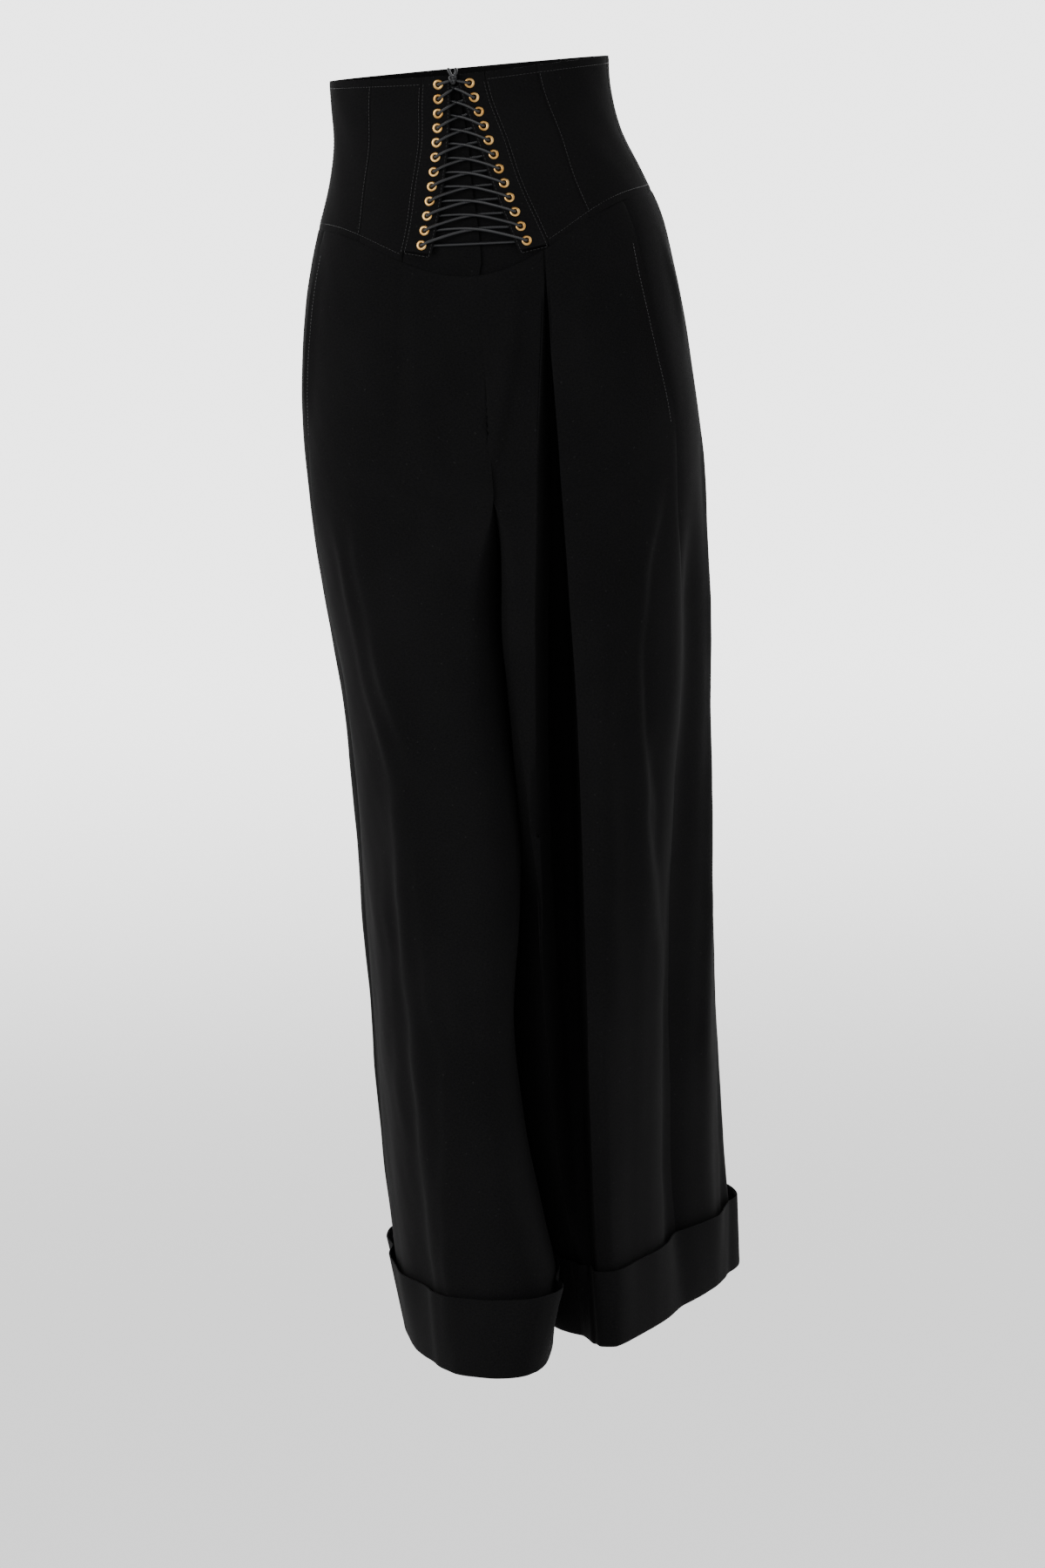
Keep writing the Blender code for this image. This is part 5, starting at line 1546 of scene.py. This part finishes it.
class PalazzoCloth(bpy.types.PropertyGroup):
    """Colours and feel of the crepe."""

    dark: bpy.props.FloatVectorProperty(
        name="Crepe shade", description="Darkest colour of the crepe",
        default=(0.0019, 0.0019, 0.0020), **COLOUR,
    )
    light: bpy.props.FloatVectorProperty(
        name="Crepe bloom", description="Lightest colour of the crepe",
        default=(0.0052, 0.0051, 0.0053), **COLOUR,
    )
    sheen: bpy.props.FloatProperty(
        name="Sheen", description="Strength of the soft nap", default=0.006, **SHARE,
    )
    pebble: bpy.props.FloatProperty(
        name="Pebble", description="Strength of the pebbled weave", default=0.55, **SHARE,
    )


class PalazzoLacing(bpy.types.PropertyGroup):
    """Colours and size of the lacing."""

    cord: bpy.props.FloatVectorProperty(
        name="Cord", description="Colour of the satin cord",
        default=(0.0012, 0.0014, 0.0021), **COLOUR,
    )
    brass: bpy.props.FloatVectorProperty(
        name="Brass", description="Colour of the eyelets", default=(0.50, 0.31, 0.11), **COLOUR,
    )
    radius: bpy.props.FloatProperty(
        name="Cord radius", description="Half the thickness of the cord",
        default=0.00135, min=0.0005, max=0.002, **LENGTH,
    )


class PalazzoSewing(bpy.types.PropertyGroup):
    """Sizes of the topstitching."""

    pitch: bpy.props.FloatProperty(
        name="Pitch", description="Length from one stitch to the next",
        default=0.0030, min=0.001, max=0.01, **LENGTH,
    )
    length: bpy.props.FloatProperty(
        name="Stitch", description="Length of one stitch",
        default=0.0024, min=0.0005, max=0.01, **LENGTH,
    )
    thread: bpy.props.FloatProperty(
        name="Thread", description="Half the thickness of the thread",
        default=0.00018, min=0.00005, max=0.001, **LENGTH,
    )
    colour: bpy.props.FloatVectorProperty(
        name="Thread colour", description="Colour of the thread",
        default=(0.0026, 0.0026, 0.0028), **COLOUR,
    )


class PalazzoStage(bpy.types.PropertyGroup):
    """Light and floor."""

    key: bpy.props.FloatProperty(
        name="Key light", description="Power of the large soft light", default=84.0, **POWER,
    )
    fill: bpy.props.FloatProperty(
        name="Fill light", description="Power of the weaker light opposite", default=14.0, **POWER,
    )
    front: bpy.props.FloatProperty(
        name="Front light", description="Power of the small light in front", default=9.0, **POWER,
    )
    sky: bpy.props.FloatProperty(
        name="Surroundings", description="Brightness of the white room",
        default=0.32, min=0.0, max=5.0,
    )
    floor: bpy.props.FloatProperty(
        name="Floor", description="Height of the floor under the waist",
        default=-1.26, min=-3.0, max=-1.1, **LENGTH,
    )


class PALAZZO_OT_legs(bpy.types.Operator):
    """Four leg panels of draped crepe"""

    bl_idname = "palazzo.legs"
    bl_label = "Legs"

    def execute(self, context):
        crepe = crepe_material("leg_crepe", context.scene.palazzo_cloth)
        for leg in SIDES:
            for panel in ("front", "back"):
                ROWS[leg, panel] = leg_piece(leg, panel, crepe)
        return {"FINISHED"}


class PALAZZO_OT_pockets(bpy.types.Operator):
    """Pocketing behind the mouths in the side seams"""

    bl_idname = "palazzo.pockets"
    bl_label = "Pockets"

    def execute(self, context):
        pocketing = crepe_material("pocket_cloth", context.scene.palazzo_cloth, 0.5)
        for leg in SIDES:
            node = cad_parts[f"pocket_facing_{leg}"]
            node.data.materials.clear()
            node.data.materials.append(pocketing)
        return {"FINISHED"}


class PALAZZO_OT_cuffs(bpy.types.Operator):
    """Turned-up cuffs"""

    bl_idname = "palazzo.cuffs"
    bl_label = "Cuffs"

    def execute(self, context):
        for leg in SIDES:
            cuff_piece(leg, bpy.data.materials["leg_crepe"])
        return {"FINISHED"}


class PALAZZO_OT_waistband(bpy.types.Operator):
    """Waistband pieces, lacing flaps and underlays"""

    bl_idname = "palazzo.waistband"
    bl_label = "Waistband"

    def execute(self, context):
        crepe = crepe_material("waistband_crepe", context.scene.palazzo_cloth)
        half = SEAM_GAP / 2
        for leg in SIDES:
            ends = ((STRIP_SEAM, half), (PRINCESS_SEAM, -half))
            band_piece("front", leg, ends, 18, crepe)
            ends = ((PRINCESS_SEAM, half), SIDE_SEAM_ANGLE - SEAM_ANGLE_GAP)
            band_piece("side", leg, ends, 24, crepe)
            ends = (SIDE_SEAM_ANGLE + SEAM_ANGLE_GAP, BACK_SPLIT_ANGLE - SEAM_ANGLE_GAP)
            band_piece("back", leg, ends, 48, crepe)
            flap_piece(leg, crepe)
            underlay_piece(leg, crepe)
        return {"FINISHED"}


class PALAZZO_OT_eyelets(bpy.types.Operator):
    """Rolled brass eyelets in both flaps"""

    bl_idname = "palazzo.eyelets"
    bl_label = "Eyelets"

    def execute(self, context):
        brass = brass_material(context.scene.palazzo_lacing.brass)
        source = eyelet_source(brass)
        for number, leg in enumerate(SIDES):
            places = []
            for index in range(EYELETS):
                centre, side, _, normal = front_frame(*eyelet_place(leg, index))
                places.append((centre, side, normal))
            rings = copies_on(f"eyelets_{leg}", places, source, brass, 0.0, 3 + number)
            nodes = [f"eyelet_{leg}_{index + 1:02d}" for index in range(EYELETS)]
            finished(rings, "gold_brass", *nodes)
        bpy.data.objects.remove(source, do_unlink=True)
        return {"FINISHED"}


class PALAZZO_OT_lace(bpy.types.Operator):
    """The crossed lace and its knot"""

    bl_idname = "palazzo.lace"
    bl_label = "Lace"

    def execute(self, context):
        lacing = context.scene.palazzo_lacing
        satin = satin_material(lacing.cord)
        cord = tube("lace_satin", smooth_path(lace_points(), 4), lacing.radius, satin)
        finished(cord, "blue_black_satin", "lace")
        centre, _, _, normal = front_frame(float(column(RIGHT_LEVELS, "x_in", KNOT_Z)), KNOT_Z)
        path = smooth_path(knot_path(centre, normal), 4)
        knot = tube("lace_knot_satin", path, lacing.radius, satin)
        finished(knot, "blue_black_satin", "lace_knot")
        return {"FINISHED"}


class PALAZZO_OT_stitches(bpy.types.Operator):
    """Topstitching along the seams, edges and pocket mouths"""

    bl_idname = "palazzo.stitches"
    bl_label = "Topstitching"

    def execute(self, context):
        sewing = context.scene.palazzo_sewing
        thread_material(sewing.colour)
        stitch = stitch_source(sewing.length, sewing.thread)
        for number, leg in enumerate(SIDES):
            strip, brim = (abs(seam_angle(STRIP_SEAM, leg, share, 0.0)) for share in (0.04, 0.96))
            foot, head = EYELET_TOP_Z - EYELET_PITCH * EYELETS, EYELET_TOP_Z + 0.001
            foot_free, foot_sewn = foot + 0.002, foot + 0.006
            edge = FLAP_STITCH / abs(strip_seam_x(leg, -0.05) - flap_edge(leg, -0.05))
            seams = [
                partial(seam_angle, seam, leg, nudge=SEAM_STITCH) for seam in (STRIP_SEAM, PRINCESS_SEAM)
            ]
            side_angle = outward(leg) * (SIDE_SEAM_ANGLE + 1.0)
            lines = [
                band_line(leg, lambda a: edge_z(YOKE, a) + YOKE_STITCH, strip + 0.8, 179.5, 160),
                band_line(leg, lambda a: edge_z(TOP, a) - TOP_STITCH, brim + 0.8, 179.5, 160),
                *map(upright_line, seams),
                flap_line(leg, edge, head, edge, foot_free, 50),
                flap_line(leg, 1.0 - edge, head, 1.0 - edge, foot_sewn, 50),
                flap_line(leg, edge, foot_free, 1.0 - edge, foot_sewn, 20),
                upright_line(lambda share, angle=side_angle: angle),
                pocket_line(ROWS[leg, "front"]),
            ]
            piece = stitches_along(f"topstitch_{leg}", lines, sewing.pitch, stitch, 11 + number)
            finished(piece, "black_band_crepe")
        bpy.data.objects.remove(stitch, do_unlink=True)
        return {"FINISHED"}


def floor_object(height):
    """A pale floor that bends up into a wall all round and sends out its own light, with painted shade:
    a painted shadow under the pants and a dimmer front half of the room.
    """
    material, shader, _, spot = new_material("pale_floor")
    material.cycles.emission_sampling = "NONE"
    axes = spot.node("ShaderNodeSeparateXYZ", Vector=spot)
    far = spot.out(spot.node("ShaderNodeVectorMath", {"operation": "LENGTH"}, _0=spot), "Value")
    # Painted shade: the room glows dimmer in front of the pants and white behind them
    wall = spot.out(axes, "Y").step(0.0, 5.5).blend(PAINTED_FRONT_SHADE_GREY, (1.0, 1.0, 1.0))
    # Painted shadow: the floor glows darker grey near the middle, under the pants
    glow_with_painted_shade = far.step(0.4, 3.2).blend(PAINTED_SHADOW_GREY, wall)
    spot.tree.links.new(glow_with_painted_shade.socket, shader.inputs["Emission Color"])
    for name, value in (
        ("Base Color", (0.0, 0.0, 0.0, 1.0)), ("Roughness", 1.0), ("Specular IOR Level", 0.0),
        ("Emission Strength", FLOOR_GLOW),
    ):
        shader.inputs[name].default_value = value
    flat_r = WALL_R - FLOOR_BEND
    rings = [(0.02, 0.0), (2.0, 0.0), (5.5, 0.0)] + [
        (flat_r + FLOOR_BEND * math.sin(t), FLOOR_BEND - FLOOR_BEND * math.cos(t))
        for t in np.linspace(0.0, math.pi / 2, 17)
    ] + [(WALL_R, WALL_TOP)]
    turns = [math.tau * k / FLOOR_TURNS for k in range(FLOOR_TURNS)]
    verts = [(r * math.cos(a), r * math.sin(a), height + h) for r, h in rings for a in turns]
    loops = [range(i, i + FLOOR_TURNS) for i in range(0, len(verts), FLOOR_TURNS)]
    faces = [tuple(reversed(loops[0]))]
    for inner, outer in zip(loops, loops[1:]):
        faces += [(a, d, c, b) for a, b, c, d in joined_loops(inner, outer)]
    mesh = bpy.data.meshes.new("floor")
    mesh.from_pydata(verts, [], faces)
    mesh.flip_normals()
    mesh.shade_smooth()
    mesh.materials.append(material)
    return link(bpy.data.objects.new("floor", mesh))


def lamp_object(name, place, power, size):
    """A square soft light that faces the pants."""
    light = bpy.data.lights.new(name, "AREA")
    light.energy, light.size, light.shape = power, size, "SQUARE"
    lamp = link(bpy.data.objects.new(name, light))
    lamp.location = place
    aim = Vector(LAMP_AIM) - Vector(place)
    lamp.rotation_euler = aim.to_track_quat("-Z", "Y").to_euler()


def camera_object():
    """The camera, turned aside, down and a little over."""
    azimuth, pitch, roll = (math.radians(angle) for angle in CAMERA_TURNS)
    ahead = Vector((
        -math.sin(azimuth) * math.cos(pitch), math.cos(azimuth) * math.cos(pitch), -math.sin(pitch),
    ))
    level = Vector((math.cos(azimuth), math.sin(azimuth), 0.0))
    above = level.cross(ahead)
    right = level * math.cos(roll) - above * math.sin(roll)
    up = above * math.cos(roll) + level * math.sin(roll)
    camera = bpy.data.cameras.new("camera")
    camera.sensor_fit = "VERTICAL"
    camera.sensor_height = 36.0
    camera.lens = CAMERA_LENS
    camera.clip_end = 60.0
    eye = link(bpy.data.objects.new("camera", camera))
    turn = Matrix((right, up, -ahead)).transposed()
    eye.matrix_world = Matrix.Translation(Vector(CAMERA_PLACE)) @ turn.to_4x4()
    return eye


class PALAZZO_OT_stage(bpy.types.Operator):
    """A plain pale floor, soft studio light and the camera"""

    bl_idname = "palazzo.stage"
    bl_label = "Stage"

    def execute(self, context):
        stage = context.scene.palazzo_stage
        floor_object(stage.floor)
        world = bpy.data.worlds.new("white_room")
        world.use_nodes = True
        room = world.node_tree.nodes["Background"]
        room.inputs["Color"].default_value = (1.0, 1.0, 1.0, 1.0)
        room.inputs["Strength"].default_value = stage.sky
        context.scene.world = world
        for name, (place, size) in LAMPS.items():
            lamp_object(f"{name}_light", place, getattr(stage, name), size)
        context.scene.camera = camera_object()
        return {"FINISHED"}


STEPS = (
    PALAZZO_OT_stage,
    PALAZZO_OT_legs,
    PALAZZO_OT_pockets,
    PALAZZO_OT_cuffs,
    PALAZZO_OT_waistband,
    PALAZZO_OT_eyelets,
    PALAZZO_OT_lace,
    PALAZZO_OT_stitches,
)
SETTINGS = (
    ("palazzo_cloth", PalazzoCloth),
    ("palazzo_lacing", PalazzoLacing),
    ("palazzo_sewing", PalazzoSewing),
    ("palazzo_stage", PalazzoStage),
)


class PALAZZO_PT_panel(bpy.types.Panel):
    """Lists the settings and the steps"""

    bl_idname = "PALAZZO_PT_panel"
    bl_label = "Palazzo Pants"
    bl_space_type = "VIEW_3D"
    bl_region_type = "UI"
    bl_category = "Palazzo Pants"

    def draw(self, context):
        for title, group in SETTINGS:
            box = self.layout.box()
            for name in group.__annotations__:
                box.prop(getattr(context.scene, title), name)
        for step in STEPS:
            self.layout.operator(step.bl_idname)


def register():
    """Register the settings, the steps and the panel."""
    for title, group in SETTINGS:
        bpy.utils.register_class(group)
        setattr(bpy.types.Scene, title, bpy.props.PointerProperty(type=group))
    for step in STEPS:
        bpy.utils.register_class(step)
    bpy.utils.register_class(PALAZZO_PT_panel)


def unregister():
    """Take the panel, the steps and the settings away again."""
    bpy.utils.unregister_class(PALAZZO_PT_panel)
    for step in reversed(STEPS):
        bpy.utils.unregister_class(step)
    for title, group in reversed(SETTINGS):
        delattr(bpy.types.Scene, title)
        bpy.utils.unregister_class(group)


def plain(box):
    """A box of vectors as plain lists."""
    return [[float(value) for value in corner] for corner in box]


def main():
    """Build the dressed model."""
    register()
    for step in STEPS:
        group, name = step.bl_idname.split(".")
        getattr(getattr(bpy.ops, group), name)()


if __name__ == "__main__":
    main()
